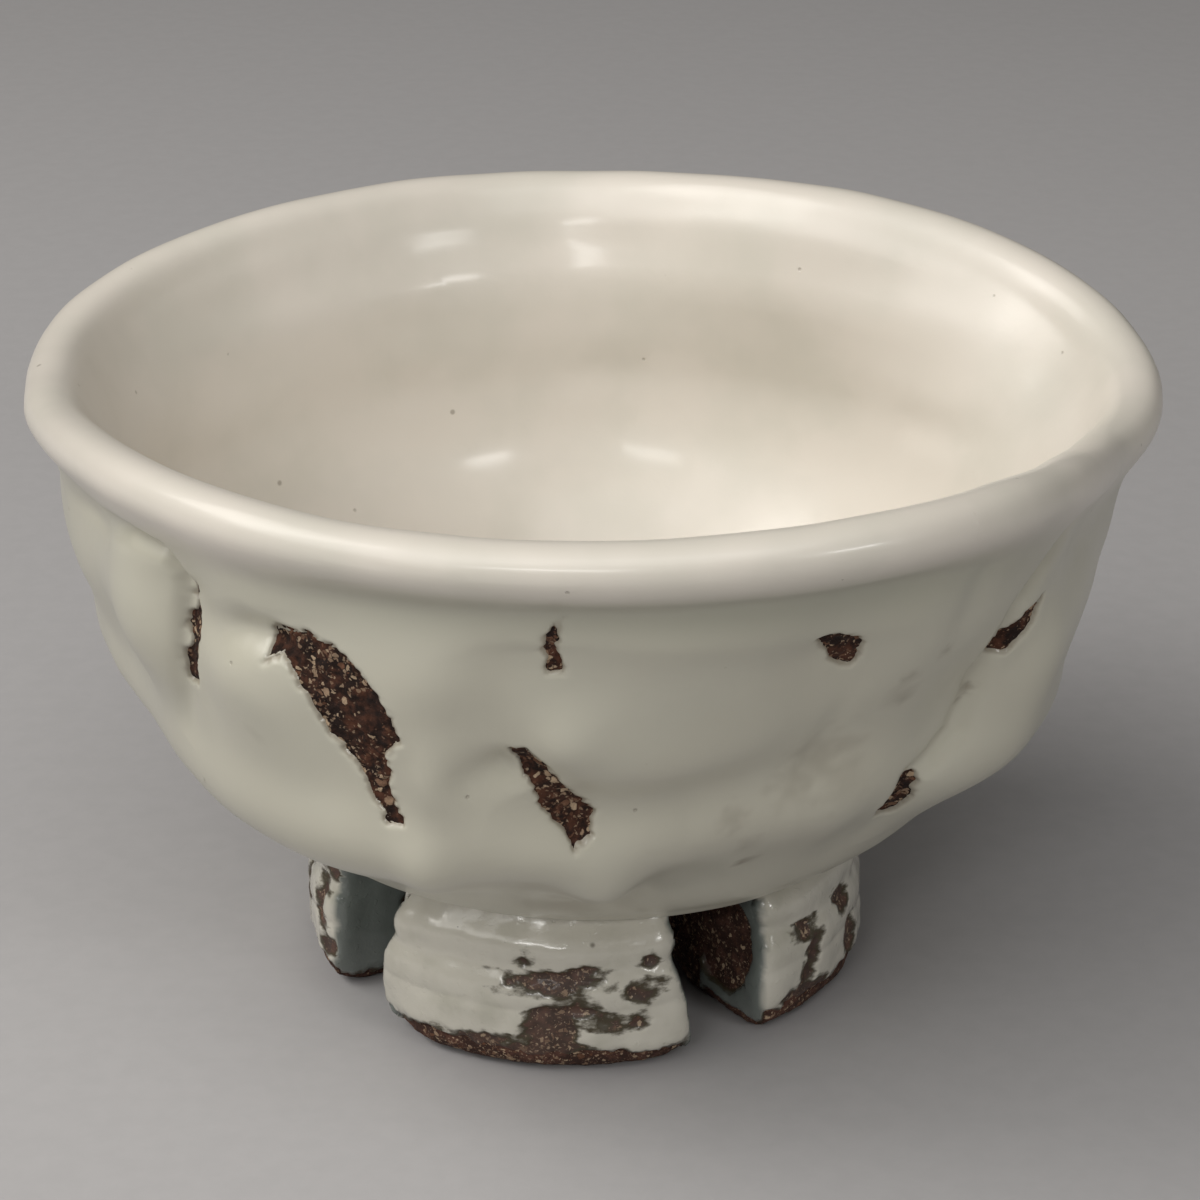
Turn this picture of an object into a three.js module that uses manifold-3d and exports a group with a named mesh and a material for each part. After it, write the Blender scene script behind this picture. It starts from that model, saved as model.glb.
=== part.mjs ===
// A hand-pressed tea bowl on a foot that is split crosswise into four lobes.
// Millimetres, +Z up. The foot stands on z = 0 and the origin lies under the middle of the bowl.
// The bowl is stoneware under a thick white glaze. The glaze is a body of its own, with the windows
// where it crept back and left the dark clay bare, and so is the thinner glaze on each lobe.

import * as THREE from "three";
import { mergeVertices } from "three/addons/utils/BufferGeometryUtils.js";
import Module from "manifold-3d";

const wasm = await Module();
wasm.setup();

// Sizes of the bowl, over the glaze
const BOWL_HEIGHT = 77.9;
const RIM_RADIUS = 65.1;
const LIP_WIDTH = 6;
const MOUTH_RADIUS = RIM_RADIUS - LIP_WIDTH;
const FLOOR_HEIGHT = 23.4;

// A fingertip's width, the unit of all that was pressed, wiped or cut by hand
const FINGERTIP = 10;

// The joint, where the bowl's underside meets the foot
const JOINT_RADIUS = 31.3;
const JOINT_HEIGHT = 19.4;

// Glaze
const GLAZE_THICKNESS = 1.5;
const GLAZE_GAP = 0.3;

// Gap between the underside of the bowl and the top of the lobes
const SEAT_GAP = 0.36;

// Foot, in bare clay
const FOOT_RADIUS = 32.4;
const FOOT_TREAD_WIDTH = 12;
const FOOT_EDGE_ROUND = 3;
const FOOT_FLARE = 2.2;
const WELL_RADIUS = 12.5;
const WELL_CEILING = 15;

// The notches that split the foot: azimuth in degrees, and in fingertips the width at the ground out
// at the edge and how far the arch leans over to one side at its top. The other values are shares:
// how much wider the arch is at its waist, how high the waist lies, and how wide the notch is at the
// middle.
const NOTCHES = [
  { azimuth: -148.5, width: 1.1, lean: 0.14 },
  { azimuth: -60.5, width: 1.08, lean: -0.09 },
  { azimuth: 31, width: 1.04, lean: 0.08 },
  { azimuth: 121, width: 1.1, lean: -0.12 },
];
const NOTCH_ARCH = 1.3;
const NOTCH_WAIST = 0.7;
const NOTCH_INNER_SHARE = 0.4;

// Glaze on the foot: it stops short of the ground, and of the well on the cut faces
const FOOT_GLAZE_THICKNESS = 1;
const FOOT_GLAZE_LINE = 3.4;
const FOOT_GLAZE_WAVE = [{ waves: 5, height: 0.08, crest: -100 }];
const FOOT_GLAZE_REACH = 13;

// Fineness of the mesh
const TURN_STEPS = 60;
const OUTER_STEPS = 13;
const LIP_STEPS = 7;
const INNER_STEPS = 8;
const LIP_REACH = 0.048;
const FOOT_STEPS = 44;
const FOOT_SIDE_STEPS = 4;
const FOOT_ROUND_STEPS = 3;
const NOTCH_CURVE_STEPS = 4;
const CURVE_DIVISIONS = 800;
const HALVINGS = 30;
const WELD_DISTANCE = 1e-4;

// How far the cutters reach past what they cut
const CUT_MARGIN = 10;

// The outer wall as shares of the way from the joint to the lip: out and up
const OUTER_WALL = [
  [0, 0],
  [0.085, 0.031],
  [0.216, 0.072],
  [0.31, 0.126],
  [0.48, 0.215],
  [0.745, 0.352],
  [0.802, 0.506],
  [0.885, 0.66],
  [0.902, 0.797],
  [0.92, 0.865],
  [0.964, 0.915],
  [1, 0.952],
  [0.982, 0.986],
];

// The inner wall as shares of the mouth's radius and of the bowl's depth, from the lip to the middle
const INNER_WALL = [
  [1.013, 0.985],
  [1, 0.949],
  [0.965, 0.908],
  [0.922, 0.85],
  [0.893, 0.772],
  [0.878, 0.672],
  [0.862, 0.543],
  [0.829, 0.415],
  [0.765, 0.286],
  [0.666, 0.167],
  [0.529, 0.081],
  [0.365, 0.03],
  [0.192, 0.008],
  [0, 0],
];
const LIP_CREST = 0.5;

// How the potter's hands pushed the thrown round out of true: waves round the bowl, with the height
// of each wave in fingertips and the azimuth of its crest in degrees
const RIM_OVAL = [
  { waves: 1, height: 0.49, crest: -100 },
  { waves: 2, height: 0.13, crest: -54 },
  { waves: 3, height: 0.21, crest: 27 },
  { waves: 4, height: 0.17, crest: 16 },
  { waves: 5, height: 0.2, crest: 18 },
];
const BELLY_OVAL = [
  { waves: 1, height: 0.16, crest: 179 },
  { waves: 2, height: 0.11, crest: 66 },
  { waves: 3, height: 0.08, crest: 19 },
  { waves: 4, height: 0.19, crest: -24 },
  { waves: 5, height: 0.11, crest: 28 },
];
const RIM_WAVE = [
  { waves: 1, height: 0.05, crest: 165 },
  { waves: 2, height: 0.39, crest: 86 },
  { waves: 3, height: 0.12, crest: 56 },
  { waves: 4, height: 0.18, crest: 42 },
];
const FOOT_WAVE = [
  { waves: 1, height: 0.14, crest: -175 },
  { waves: 4, height: 0.05, crest: -105 },
];

// Shares of the wall's height: where the belly's oval is full, where the rim's oval begins and is
// full, where the rim's waves begin, and where the dents are full
const PRESS_FULL = 0.36;
const RIM_START = 0.46;
const RIM_FULL = 0.95;
const WAVE_START = 0.21;
const DENT_FULL = 0.2;

// Share of the way along the section, from the joint to the lip, at which the dents begin to fade
const DENT_FADE = 0.84;

// Finger dents and creases outside: azimuth in degrees, height as a share of the wall's height, lean
// from upright in degrees, and half length, half width and depth in fingertips. A negative depth is a
// swelling between two dents.
const DENTS = [
  { azimuth: -155, height: 0.83, length: 1.4, width: 0.4, lean: -72, depth: 0.16 },
  { azimuth: -132, height: 0.74, length: 1.1, width: 0.35, lean: 0, depth: 0.2 },
  { azimuth: -122, height: 0.79, length: 0.7, width: 0.35, lean: -75, depth: 0.14 },
  { azimuth: -113, height: 0.61, length: 1.3, width: 0.5, lean: 22, depth: 0.13 },
  { azimuth: -93.5, height: 0.81, length: 0.7, width: 0.35, lean: 0, depth: 0.16 },
  { azimuth: -99.5, height: 0.62, length: 0.6, width: 0.35, lean: -80, depth: 0.13 },
  { azimuth: -94, height: 0.49, length: 1, width: 0.4, lean: 35, depth: 0.15 },
  { azimuth: -67, height: 0.715, length: 0.8, width: 0.45, lean: 20, depth: 0.13 },
  { azimuth: -31, height: 0.76, length: 1.6, width: 0.4, lean: -62, depth: 0.13 },
  { azimuth: -46, height: 0.56, length: 1.1, width: 0.4, lean: -12, depth: 0.18 },
  { azimuth: -52, height: 0.34, length: 0.8, width: 0.4, lean: -8, depth: 0.18 },
  { azimuth: -82, height: 0.67, length: 0.9, width: 0.9, lean: 0, depth: -0.09 },
  { azimuth: -89, height: 0.33, length: 0.8, width: 0.9, lean: 0, depth: -0.1 },
  { azimuth: -107, height: 0.45, length: 0.9, width: 0.7, lean: 20, depth: -0.07 },
  { azimuth: -143, height: 0.66, length: 1.2, width: 0.7, lean: 0, depth: -0.09 },
  { azimuth: -33, height: 0.52, length: 0.9, width: 0.8, lean: 0, depth: -0.13 },
  { azimuth: 8, height: 0.68, length: 1.2, width: 0.4, lean: 14, depth: 0.18 },
  { azimuth: 34, height: 0.6, length: 0.9, width: 0.45, lean: -30, depth: 0.15 },
  { azimuth: 61, height: 0.74, length: 0.9, width: 0.4, lean: 6, depth: 0.16 },
  { azimuth: 88, height: 0.55, length: 1.2, width: 0.5, lean: 26, depth: 0.15 },
  { azimuth: 118, height: 0.7, length: 1.2, width: 0.4, lean: -12, depth: 0.17 },
  { azimuth: 142, height: 0.5, length: 1, width: 0.45, lean: 28, depth: 0.15 },
  { azimuth: 168, height: 0.66, length: 1, width: 0.4, lean: 0, depth: 0.17 },
  { azimuth: 47, height: 0.42, length: 0.9, width: 0.8, lean: 0, depth: -0.09 },
  { azimuth: 104, height: 0.42, length: 0.9, width: 0.8, lean: 0, depth: -0.09 },
  { azimuth: 155, height: 0.8, length: 0.8, width: 0.8, lean: 0, depth: -0.07 },
];

// Windows in the glaze: azimuth and height of the middle, and the outline in fingertips from there,
// across and up the wall
const WINDOWS = [
  // Great leaf
  {
    azimuth: -113.2,
    height: 0.612,
    outline: [
      [-0.84, 0.62], [-0.64, 0.74], [-0.37, 0.4], [-0.15, -0.04],
      [0.1, -0.34], [0.22, -0.7], [0.4, -1.06], [0.54, -1.04],
      [0.45, -0.6], [0.46, -0.2], [0.62, 0.04], [0.58, 0.32],
      [0.37, 0.69], [0.02, 0.97], [-0.36, 1.04], [-0.8, 0.95],
    ],
  },
  // Long slit
  {
    azimuth: -132.5,
    height: 0.7,
    outline: [
      [-0.19, -0.66], [-0.02, -0.6], [0.13, 0], [0.19, 0.6], [0.06, 0.66], [-0.07, 0.06], [-0.19, -0.3],
    ],
  },
  // Short slit
  {
    azimuth: -93.4,
    height: 0.805,
    outline: [[-0.13, -0.04], [-0.09, -0.36], [0.09, -0.34], [0.05, 0.04], [0.1, 0.35], [-0.07, 0.36]],
  },
  // Slanting leaf
  {
    azimuth: -94.2,
    height: 0.492,
    outline: [
      [-0.45, 0.66], [-0.07, -0.18], [0.24, -0.7], [0.38, -0.52],
      [0.43, -0.28], [0.11, 0.14], [-0.09, 0.52], [-0.28, 0.7],
    ],
  },
  // Fingertip
  {
    azimuth: -66.8,
    height: 0.722,
    outline: [
      [-0.29, 0.23], [-0.14, 0.01], [-0.02, -0.14], [0.19, -0.25],
      [0.22, -0.06], [0.2, 0.12], [-0.07, 0.26],
    ],
  },
  // Leaning slit
  {
    azimuth: -43,
    height: 0.662,
    outline: [[0.43, 0.29], [0.18, 0.21], [-0.05, -0.06], [-0.15, -0.26], [0.06, -0.22], [0.3, 0]],
  },
  // Low slit
  {
    azimuth: -50.6,
    height: 0.32,
    outline: [[0.14, 0.38], [-0.02, 0.34], [-0.15, 0], [-0.08, -0.34], [0.07, -0.36], [0.15, -0.06]],
  },
  // Right slit
  {
    azimuth: 8,
    height: 0.66,
    outline: [[-0.12, -0.5], [0.02, -0.54], [0.14, -0.1], [0.12, 0.44], [0, 0.52], [-0.08, 0.1]],
  },
  // Back leaf
  {
    azimuth: 88,
    height: 0.57,
    outline: [
      [-0.38, 0.6], [-0.3, 0.06], [-0.04, -0.5], [0.28, -0.86],
      [0.4, -0.72], [0.3, -0.1], [0.1, 0.44], [-0.16, 0.74],
    ],
  },
  // Back slit
  {
    azimuth: 118,
    height: 0.7,
    outline: [[-0.14, 0.48], [-0.1, -0.06], [0.06, -0.52], [0.18, -0.46], [0.1, 0.04], [0.04, 0.52]],
  },
  // Back fingertip
  {
    azimuth: 34,
    height: 0.6,
    outline: [[-0.26, -0.1], [-0.06, -0.24], [0.18, -0.12], [0.26, 0.14], [0.04, 0.24], [-0.16, 0.14]],
  },
  // Left slit
  {
    azimuth: 168,
    height: 0.64,
    outline: [[-0.13, 0.5], [-0.15, 0], [-0.04, -0.54], [0.1, -0.5], [0.08, 0.02], [0.04, 0.52]],
  },
];
const WINDOW_CUT_DEPTH = 3.6;
const WINDOW_CUT_PROUD = 6;

// Colours and surfaces
const CLAY_LOOK = { color: 0x4a2e24, roughness: 0.9, metalness: 0 };
const GLAZE_LOOK = { color: 0xd9d5c6, roughness: 0.3, metalness: 0 };
const FOOT_GLAZE_LOOK = { color: 0xaeb0a0, roughness: 0.22, metalness: 0 };

const UP = new THREE.Vector3(0, 0, 1);

function smooth(share) {
  return THREE.MathUtils.smoothstep(share, 0, 1);
}

// Height of a sum of waves, in millimetres, at one azimuth, in radians
function waveHeight(waves, azimuth) {
  let sum = 0;
  for (const wave of waves) {
    sum += wave.height * Math.cos(wave.waves * (azimuth - THREE.MathUtils.degToRad(wave.crest)));
  }
  return sum * FINGERTIP;
}

function around(radius, azimuth, height) {
  return new THREE.Vector3(radius * Math.cos(azimuth), radius * Math.sin(azimuth), height);
}

// The glazed surface in section, from the joint up the outside, over the lip and down to the middle

function outerWallPoint([out, up]) {
  const radius = JOINT_RADIUS + (RIM_RADIUS - JOINT_RADIUS) * out;
  const height = JOINT_HEIGHT + (BOWL_HEIGHT - JOINT_HEIGHT) * up;
  return new THREE.Vector2(radius, height);
}

function innerWallPoint([out, up]) {
  return new THREE.Vector2(MOUTH_RADIUS * out, FLOOR_HEIGHT + (BOWL_HEIGHT - FLOOR_HEIGHT) * up);
}

const crestRadius = MOUTH_RADIUS + (RIM_RADIUS - MOUTH_RADIUS) * LIP_CREST;
const wallCurve = new THREE.SplineCurve([
  ...OUTER_WALL.map(outerWallPoint),
  new THREE.Vector2(crestRadius, BOWL_HEIGHT),
  ...INNER_WALL.map(innerWallPoint),
]);
wallCurve.arcLengthDivisions = CURVE_DIVISIONS;

// Share of the curve at the lip's crest: outside comes before it and inside after it
function findCrest() {
  let best = 0;
  for (let step = 0; step <= CURVE_DIVISIONS; step++) {
    const along = step / CURVE_DIVISIONS;
    if (wallCurve.getPointAt(along).y > wallCurve.getPointAt(best).y) {
      best = along;
    }
  }
  return best;
}
const CREST_ALONG = findCrest();

// Depth that the dents leave at a place on the outer wall
function dentDepth(radius, height, azimuth) {
  let depth = 0;
  for (const dent of DENTS) {
    const turn = azimuth - THREE.MathUtils.degToRad(dent.azimuth);
    const across = radius * Math.atan2(Math.sin(turn), Math.cos(turn));
    const up = height - outerWallPoint([0, dent.height]).y;
    const lean = THREE.MathUtils.degToRad(dent.lean);
    const lengthwise = (up * Math.cos(lean) - across * Math.sin(lean)) / (dent.length * FINGERTIP);
    const sidewise = (up * Math.sin(lean) + across * Math.cos(lean)) / (dent.width * FINGERTIP);
    depth += dent.depth * Math.exp(-lengthwise * lengthwise - sidewise * sidewise);
  }
  return depth * FINGERTIP;
}

// A point of the glazed surface: the thrown section, pushed out of round, waved at the rim and dented
function skinPoint(along, azimuth) {
  const point = wallCurve.getPointAt(THREE.MathUtils.clamp(along, 0, 1));
  const rise = (point.y - JOINT_HEIGHT) / (BOWL_HEIGHT - JOINT_HEIGHT);
  const pressed = smooth(rise / PRESS_FULL) * smooth(point.x / MOUTH_RADIUS);
  const towardsRim = smooth((rise - RIM_START) / (RIM_FULL - RIM_START));
  const bellyOval = waveHeight(BELLY_OVAL, azimuth);
  const oval = THREE.MathUtils.lerp(bellyOval, waveHeight(RIM_OVAL, azimuth), towardsRim);
  const lift = smooth((rise - WAVE_START) / (1 - WAVE_START)) * waveHeight(RIM_WAVE, azimuth);
  const outside = 1 - smooth((along / CREST_ALONG - DENT_FADE) / (1 - DENT_FADE));
  const fromJoint = smooth(rise / DENT_FULL);
  const dent = outside * fromJoint * dentDepth(point.x, point.y, azimuth);
  return around(point.x + pressed * oval - dent, azimuth, point.y + lift);
}

// Steps along the section and round the bowl, in radians, between which the normal is measured
const NORMAL_STEP = 0.004;
const NORMAL_TURN = 0.02;

// Outward normal of the glazed surface
function skinNormal(along, azimuth) {
  const low = THREE.MathUtils.clamp(along - NORMAL_STEP, 0, 1);
  const high = THREE.MathUtils.clamp(along + NORMAL_STEP, 0, 1);
  if (high === 1 && wallCurve.getPointAt(along).x < 1) {
    return UP.clone();
  }
  const forward = skinPoint(high, azimuth).sub(skinPoint(low, azimuth));
  const middle = low === 0 ? 0 : along;
  const sideways = skinPoint(middle, azimuth + NORMAL_TURN).sub(skinPoint(middle, azimuth - NORMAL_TURN));
  return sideways.cross(forward).normalize();
}

// A point under the glazed surface, as deep as given
function layerPoint(along, azimuth, depth) {
  return skinPoint(along, azimuth).addScaledVector(skinNormal(along, azimuth), -depth);
}

// Solids and meshes

// Makes a solid of a closed three.js geometry
function toSolid(geometry) {
  const bare = geometry.clone();
  bare.deleteAttribute("normal");
  bare.deleteAttribute("uv");
  const merged = mergeVertices(bare, WELD_DISTANCE);
  const index = merged.index.array;
  const triangles = [];
  for (let i = 0; i < index.length; i += 3) {
    const [a, b, c] = [index[i], index[i + 1], index[i + 2]];
    if (a !== b && b !== c && c !== a) {
      triangles.push(a, b, c);
    }
  }
  const mesh = new wasm.Mesh({
    numProp: 3,
    vertProperties: new Float32Array(merged.attributes.position.array),
    triVerts: new Uint32Array(triangles),
  });
  return new wasm.Manifold(mesh);
}

function toGeometry(solid) {
  const mesh = solid.getMesh();
  const geometry = new THREE.BufferGeometry();
  geometry.setAttribute("position", new THREE.BufferAttribute(mesh.vertProperties, 3));
  geometry.setIndex(new THREE.BufferAttribute(mesh.triVerts, 1));
  geometry.computeVertexNormals();
  return geometry;
}

// A body turned about Z. The section runs from the axis to the axis, or closes on itself, with the
// solid on its left. Each of its points is a function of the azimuth, so a lathe's round can be
// pushed out of true.
function pressedLathe(section, steps) {
  const profile = section.map((place) => {
    const point = place(0);
    return new THREE.Vector2(Math.hypot(point.x, point.y), point.z);
  });
  const geometry = new THREE.LatheGeometry(profile, steps);
  const position = geometry.attributes.position;
  for (let turn = 0; turn <= steps; turn++) {
    const azimuth = ((turn % steps) / steps) * 2 * Math.PI;
    section.forEach((place, row) => {
      const point = place(azimuth);
      position.setXYZ(turn * section.length + row, point.x, point.y, point.z);
    });
  }
  return geometry;
}

// Swaps two corners of each triangle, so that its face looks the other way
function turnFacesOver(geometry) {
  const index = geometry.index;
  for (let i = 0; i < index.count; i += 3) {
    const corner = index.getX(i + 1);
    index.setX(i + 1, index.getX(i + 2));
    index.setX(i + 2, corner);
  }
  return geometry;
}

// A fixed point of a section, with an optional wave in its radius
function roundPlace(radius, height, waves = []) {
  return (azimuth) => around(radius + waveHeight(waves, azimuth), azimuth, height);
}

// Where the rows of the wall lie along its section: close together round the lip
function rowsAlong() {
  const stretches = [
    [0, CREST_ALONG - LIP_REACH, OUTER_STEPS],
    [CREST_ALONG - LIP_REACH, CREST_ALONG + LIP_REACH, LIP_STEPS],
    [CREST_ALONG + LIP_REACH, 1, INNER_STEPS],
  ];
  const rows = [0];
  for (const [start, end, steps] of stretches) {
    for (let step = 1; step <= steps; step++) {
      rows.push(THREE.MathUtils.lerp(start, end, step / steps));
    }
  }
  return rows;
}

function layerPlaces(depth) {
  return rowsAlong().map((along) => (azimuth) => layerPoint(along, azimuth, depth));
}

// The clay bowl: its wall lies under the glaze, and its underside is a shallow cone over the foot
const clayDepth = GLAZE_THICKNESS + GLAZE_GAP;
const clayJoint = layerPoint(0, 0, clayDepth);
const clayJointRadius = Math.hypot(clayJoint.x, clayJoint.y);

function undersideHeight(radius) {
  const share = (radius - WELL_RADIUS) / (clayJointRadius - WELL_RADIUS);
  return WELL_CEILING + (clayJoint.z - WELL_CEILING) * Math.max(share, 0);
}

// The section runs down the wall, as the inner face of the glaze does, so that the two faces are
// split into triangles alike and stay parallel
function makeClayBowl() {
  const underside = [roundPlace(0, WELL_CEILING), roundPlace(WELL_RADIUS, WELL_CEILING)];
  const section = [...underside, ...layerPlaces(clayDepth)].reverse();
  return toSolid(turnFacesOver(pressedLathe(section, TURN_STEPS)));
}

// Where a place on the outer wall is on the section: found by its height
function alongAtHeight(share) {
  const height = outerWallPoint([0, share]).y;
  let low = 0;
  let high = CREST_ALONG;
  for (let pass = 0; pass < HALVINGS; pass++) {
    const middle = (low + high) / 2;
    if (wallCurve.getPointAt(middle).y < height) {
      low = middle;
    } else {
      high = middle;
    }
  }
  return low;
}

// A window's cutter: its outline laid on the wall and pushed straight in, square to the surface
function makeWindowCutter(window) {
  const corners = window.outline.map(([x, y]) => new THREE.Vector2(x, y).multiplyScalar(FINGERTIP));
  const outline = new THREE.Shape(corners);
  const geometry = new THREE.ExtrudeGeometry(outline, {
    depth: WINDOW_CUT_DEPTH + WINDOW_CUT_PROUD,
    bevelEnabled: false,
  });
  const azimuth = THREE.MathUtils.degToRad(window.azimuth);
  const along = alongAtHeight(window.height);
  const out = skinNormal(along, azimuth);
  const across = UP.clone().cross(out).normalize();
  const upward = out.clone().cross(across);
  const placing = new THREE.Matrix4().makeBasis(across, upward, out);
  placing.setPosition(skinPoint(along, azimuth).addScaledVector(out, -WINDOW_CUT_DEPTH));
  return toSolid(geometry.applyMatrix4(placing));
}

function makeGlazeCoat() {
  const outer = layerPlaces(0);
  const inner = layerPlaces(GLAZE_THICKNESS).reverse();
  let coat = toSolid(pressedLathe([...outer, ...inner, outer[0]], TURN_STEPS));
  for (const window of WINDOWS) {
    coat = coat.subtract(makeWindowCutter(window));
  }
  return coat;
}

// The foot

const neckRadius = JOINT_RADIUS - FOOT_GLAZE_THICKNESS - GLAZE_GAP;
const treadOuterRadius = FOOT_RADIUS - FOOT_EDGE_ROUND;
const treadInnerRadius = treadOuterRadius - FOOT_TREAD_WIDTH;
const aboveFoot = JOINT_HEIGHT + CUT_MARGIN;
const belowFoot = -CUT_MARGIN;
const beyondFoot = FOOT_RADIUS + CUT_MARGIN;

// The foot ring in section, grown by the given amount: it flares from the neck to a round edge
function footSection(grow) {
  const shoulder = JOINT_HEIGHT - FOOT_EDGE_ROUND / 2;
  const outside = [];
  for (let step = FOOT_SIDE_STEPS; step > 0; step--) {
    const share = step / FOOT_SIDE_STEPS;
    const radius = THREE.MathUtils.lerp(neckRadius, FOOT_RADIUS, smooth((1 - share) * FOOT_FLARE));
    const height = THREE.MathUtils.lerp(FOOT_EDGE_ROUND, shoulder, share);
    outside.push(roundPlace(radius + grow, height, FOOT_WAVE));
  }
  for (let step = 0; step <= FOOT_ROUND_STEPS; step++) {
    const turn = ((step / FOOT_ROUND_STEPS) * Math.PI) / 2;
    const radius = treadOuterRadius + (FOOT_EDGE_ROUND + grow) * Math.cos(turn);
    outside.push(roundPlace(radius, FOOT_EDGE_ROUND - (FOOT_EDGE_ROUND + grow) * Math.sin(turn), FOOT_WAVE));
  }
  return [
    roundPlace(treadInnerRadius, -grow, FOOT_WAVE),
    ...outside.reverse(),
    roundPlace(neckRadius + grow, aboveFoot, FOOT_WAVE),
    roundPlace(WELL_RADIUS - grow, aboveFoot, FOOT_WAVE),
    roundPlace(WELL_RADIUS - grow, FOOT_EDGE_ROUND, FOOT_WAVE),
    roundPlace(treadInnerRadius, -grow, FOOT_WAVE),
  ];
}

// A notch's cutter, narrowed by the given amount on each side: a leaning arch that widens from the
// well outwards
function makeNotchCutter(notch, narrow) {
  const foot = (notch.width * FINGERTIP) / 2;
  const lean = notch.lean * FINGERTIP;
  const waist = foot * NOTCH_ARCH;
  const waistHeight = JOINT_HEIGHT * NOTCH_WAIST;
  const arch = new THREE.Shape();
  arch.moveTo(-foot, belowFoot);
  arch.lineTo(foot, belowFoot);
  arch.lineTo(foot, FOOT_EDGE_ROUND);
  arch.quadraticCurveTo(foot + lean / 3, waistHeight / 2, waist + lean, waistHeight);
  arch.lineTo(waist + lean, aboveFoot);
  arch.lineTo(-waist + lean, aboveFoot);
  arch.lineTo(-waist + lean, waistHeight);
  arch.quadraticCurveTo(-foot + lean / 3, waistHeight / 2, -foot, FOOT_EDGE_ROUND);
  const geometry = new THREE.ExtrudeGeometry(arch, {
    depth: beyondFoot,
    bevelEnabled: false,
    curveSegments: NOTCH_CURVE_STEPS,
  });
  const position = geometry.attributes.position;
  for (let i = 0; i < position.count; i++) {
    const across = position.getX(i);
    const spread = THREE.MathUtils.lerp(NOTCH_INNER_SHARE, 1, position.getZ(i) / FOOT_RADIUS);
    position.setX(i, across * spread - Math.sign(across) * narrow);
  }
  const out = around(1, THREE.MathUtils.degToRad(notch.azimuth), 0);
  const placing = new THREE.Matrix4().makeBasis(UP.clone().cross(out), UP, out);
  return toSolid(geometry.applyMatrix4(placing));
}

// All the room under the bowl that the foot may fill, clear of clay and glaze by the gap
function makeFootRoom() {
  const innerEdge = neckRadius + GLAZE_GAP / 2;
  const section = [
    roundPlace(0, belowFoot),
    roundPlace(beyondFoot, belowFoot),
    roundPlace(beyondFoot, JOINT_HEIGHT - GLAZE_GAP),
    roundPlace(innerEdge, JOINT_HEIGHT - GLAZE_GAP),
    roundPlace(innerEdge, undersideHeight(innerEdge) - SEAT_GAP),
    roundPlace(WELL_RADIUS, WELL_CEILING - SEAT_GAP),
    roundPlace(0, WELL_CEILING - SEAT_GAP),
  ];
  return toSolid(pressedLathe(section, FOOT_STEPS));
}

const footRoom = makeFootRoom();

function azimuthOf(solid) {
  const box = solid.boundingBox();
  return Math.atan2(box.min[1] + box.max[1], box.min[0] + box.max[0]);
}

// The four lobes, grown by the given amount and still too tall, in order of azimuth: front, right,
// back and left
function makeTallLobes(grow) {
  let ring = toSolid(pressedLathe(footSection(grow), FOOT_STEPS));
  for (const notch of NOTCHES) {
    ring = ring.subtract(makeNotchCutter(notch, grow));
  }
  return ring.decompose().sort((one, other) => azimuthOf(one) - azimuthOf(other));
}

// What the foot's glaze leaves bare: the tread and its edge, up to a wavering line, and the well
function makeBareZone() {
  const ground = [
    roundPlace(0, belowFoot),
    roundPlace(beyondFoot, belowFoot),
    (azimuth) => around(beyondFoot, azimuth, FOOT_GLAZE_LINE + waveHeight(FOOT_GLAZE_WAVE, azimuth)),
    roundPlace(0, FOOT_GLAZE_LINE),
  ];
  const wellRadius = FOOT_RADIUS - FOOT_GLAZE_REACH;
  const well = [
    roundPlace(0, belowFoot),
    roundPlace(wellRadius, belowFoot),
    roundPlace(wellRadius, aboveFoot),
    roundPlace(0, aboveFoot),
  ];
  return toSolid(pressedLathe(ground, FOOT_STEPS)).add(toSolid(pressedLathe(well, FOOT_STEPS)));
}

function makeFootGlaze() {
  const bare = makeBareZone();
  const cores = makeTallLobes(GLAZE_GAP);
  const skins = makeTallLobes(GLAZE_GAP + FOOT_GLAZE_THICKNESS);
  return skins.map((skin, index) => skin.subtract(cores[index]).subtract(bare).intersect(footRoom));
}

// Names, looks and the group

function makeMesh(name, solid, look) {
  const mesh = new THREE.Mesh(toGeometry(solid), new THREE.MeshStandardMaterial(look));
  mesh.name = name;
  return mesh;
}

const LOBE_SIDES = ["front", "right", "back", "left"];
const lobes = makeTallLobes(0).map((lobe) => lobe.intersect(footRoom));
const footGlaze = makeFootGlaze();

const bowl = new THREE.Group();
bowl.add(makeMesh("clay_bowl", makeClayBowl(), CLAY_LOOK));
bowl.add(makeMesh("glaze_coat", makeGlazeCoat(), GLAZE_LOOK));
LOBE_SIDES.forEach((side, index) => {
  bowl.add(makeMesh(`foot_lobe_${side}`, lobes[index], CLAY_LOOK));
  bowl.add(makeMesh(`foot_glaze_${side}`, footGlaze[index], FOOT_GLAZE_LOOK));
});

// The origin goes under the middle of the bowl's extent
const extent = new THREE.Box3().setFromObject(bowl);
const middle = extent.getCenter(new THREE.Vector3());
bowl.position.set(-middle.x, -middle.y, -extent.min.z);

const model = new THREE.Group();
model.add(bowl);

export default model;
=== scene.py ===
import functools
import itertools
import math

import bmesh
import bpy
import numpy as np
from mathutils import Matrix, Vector
from mathutils.bvhtree import BVHTree


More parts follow.
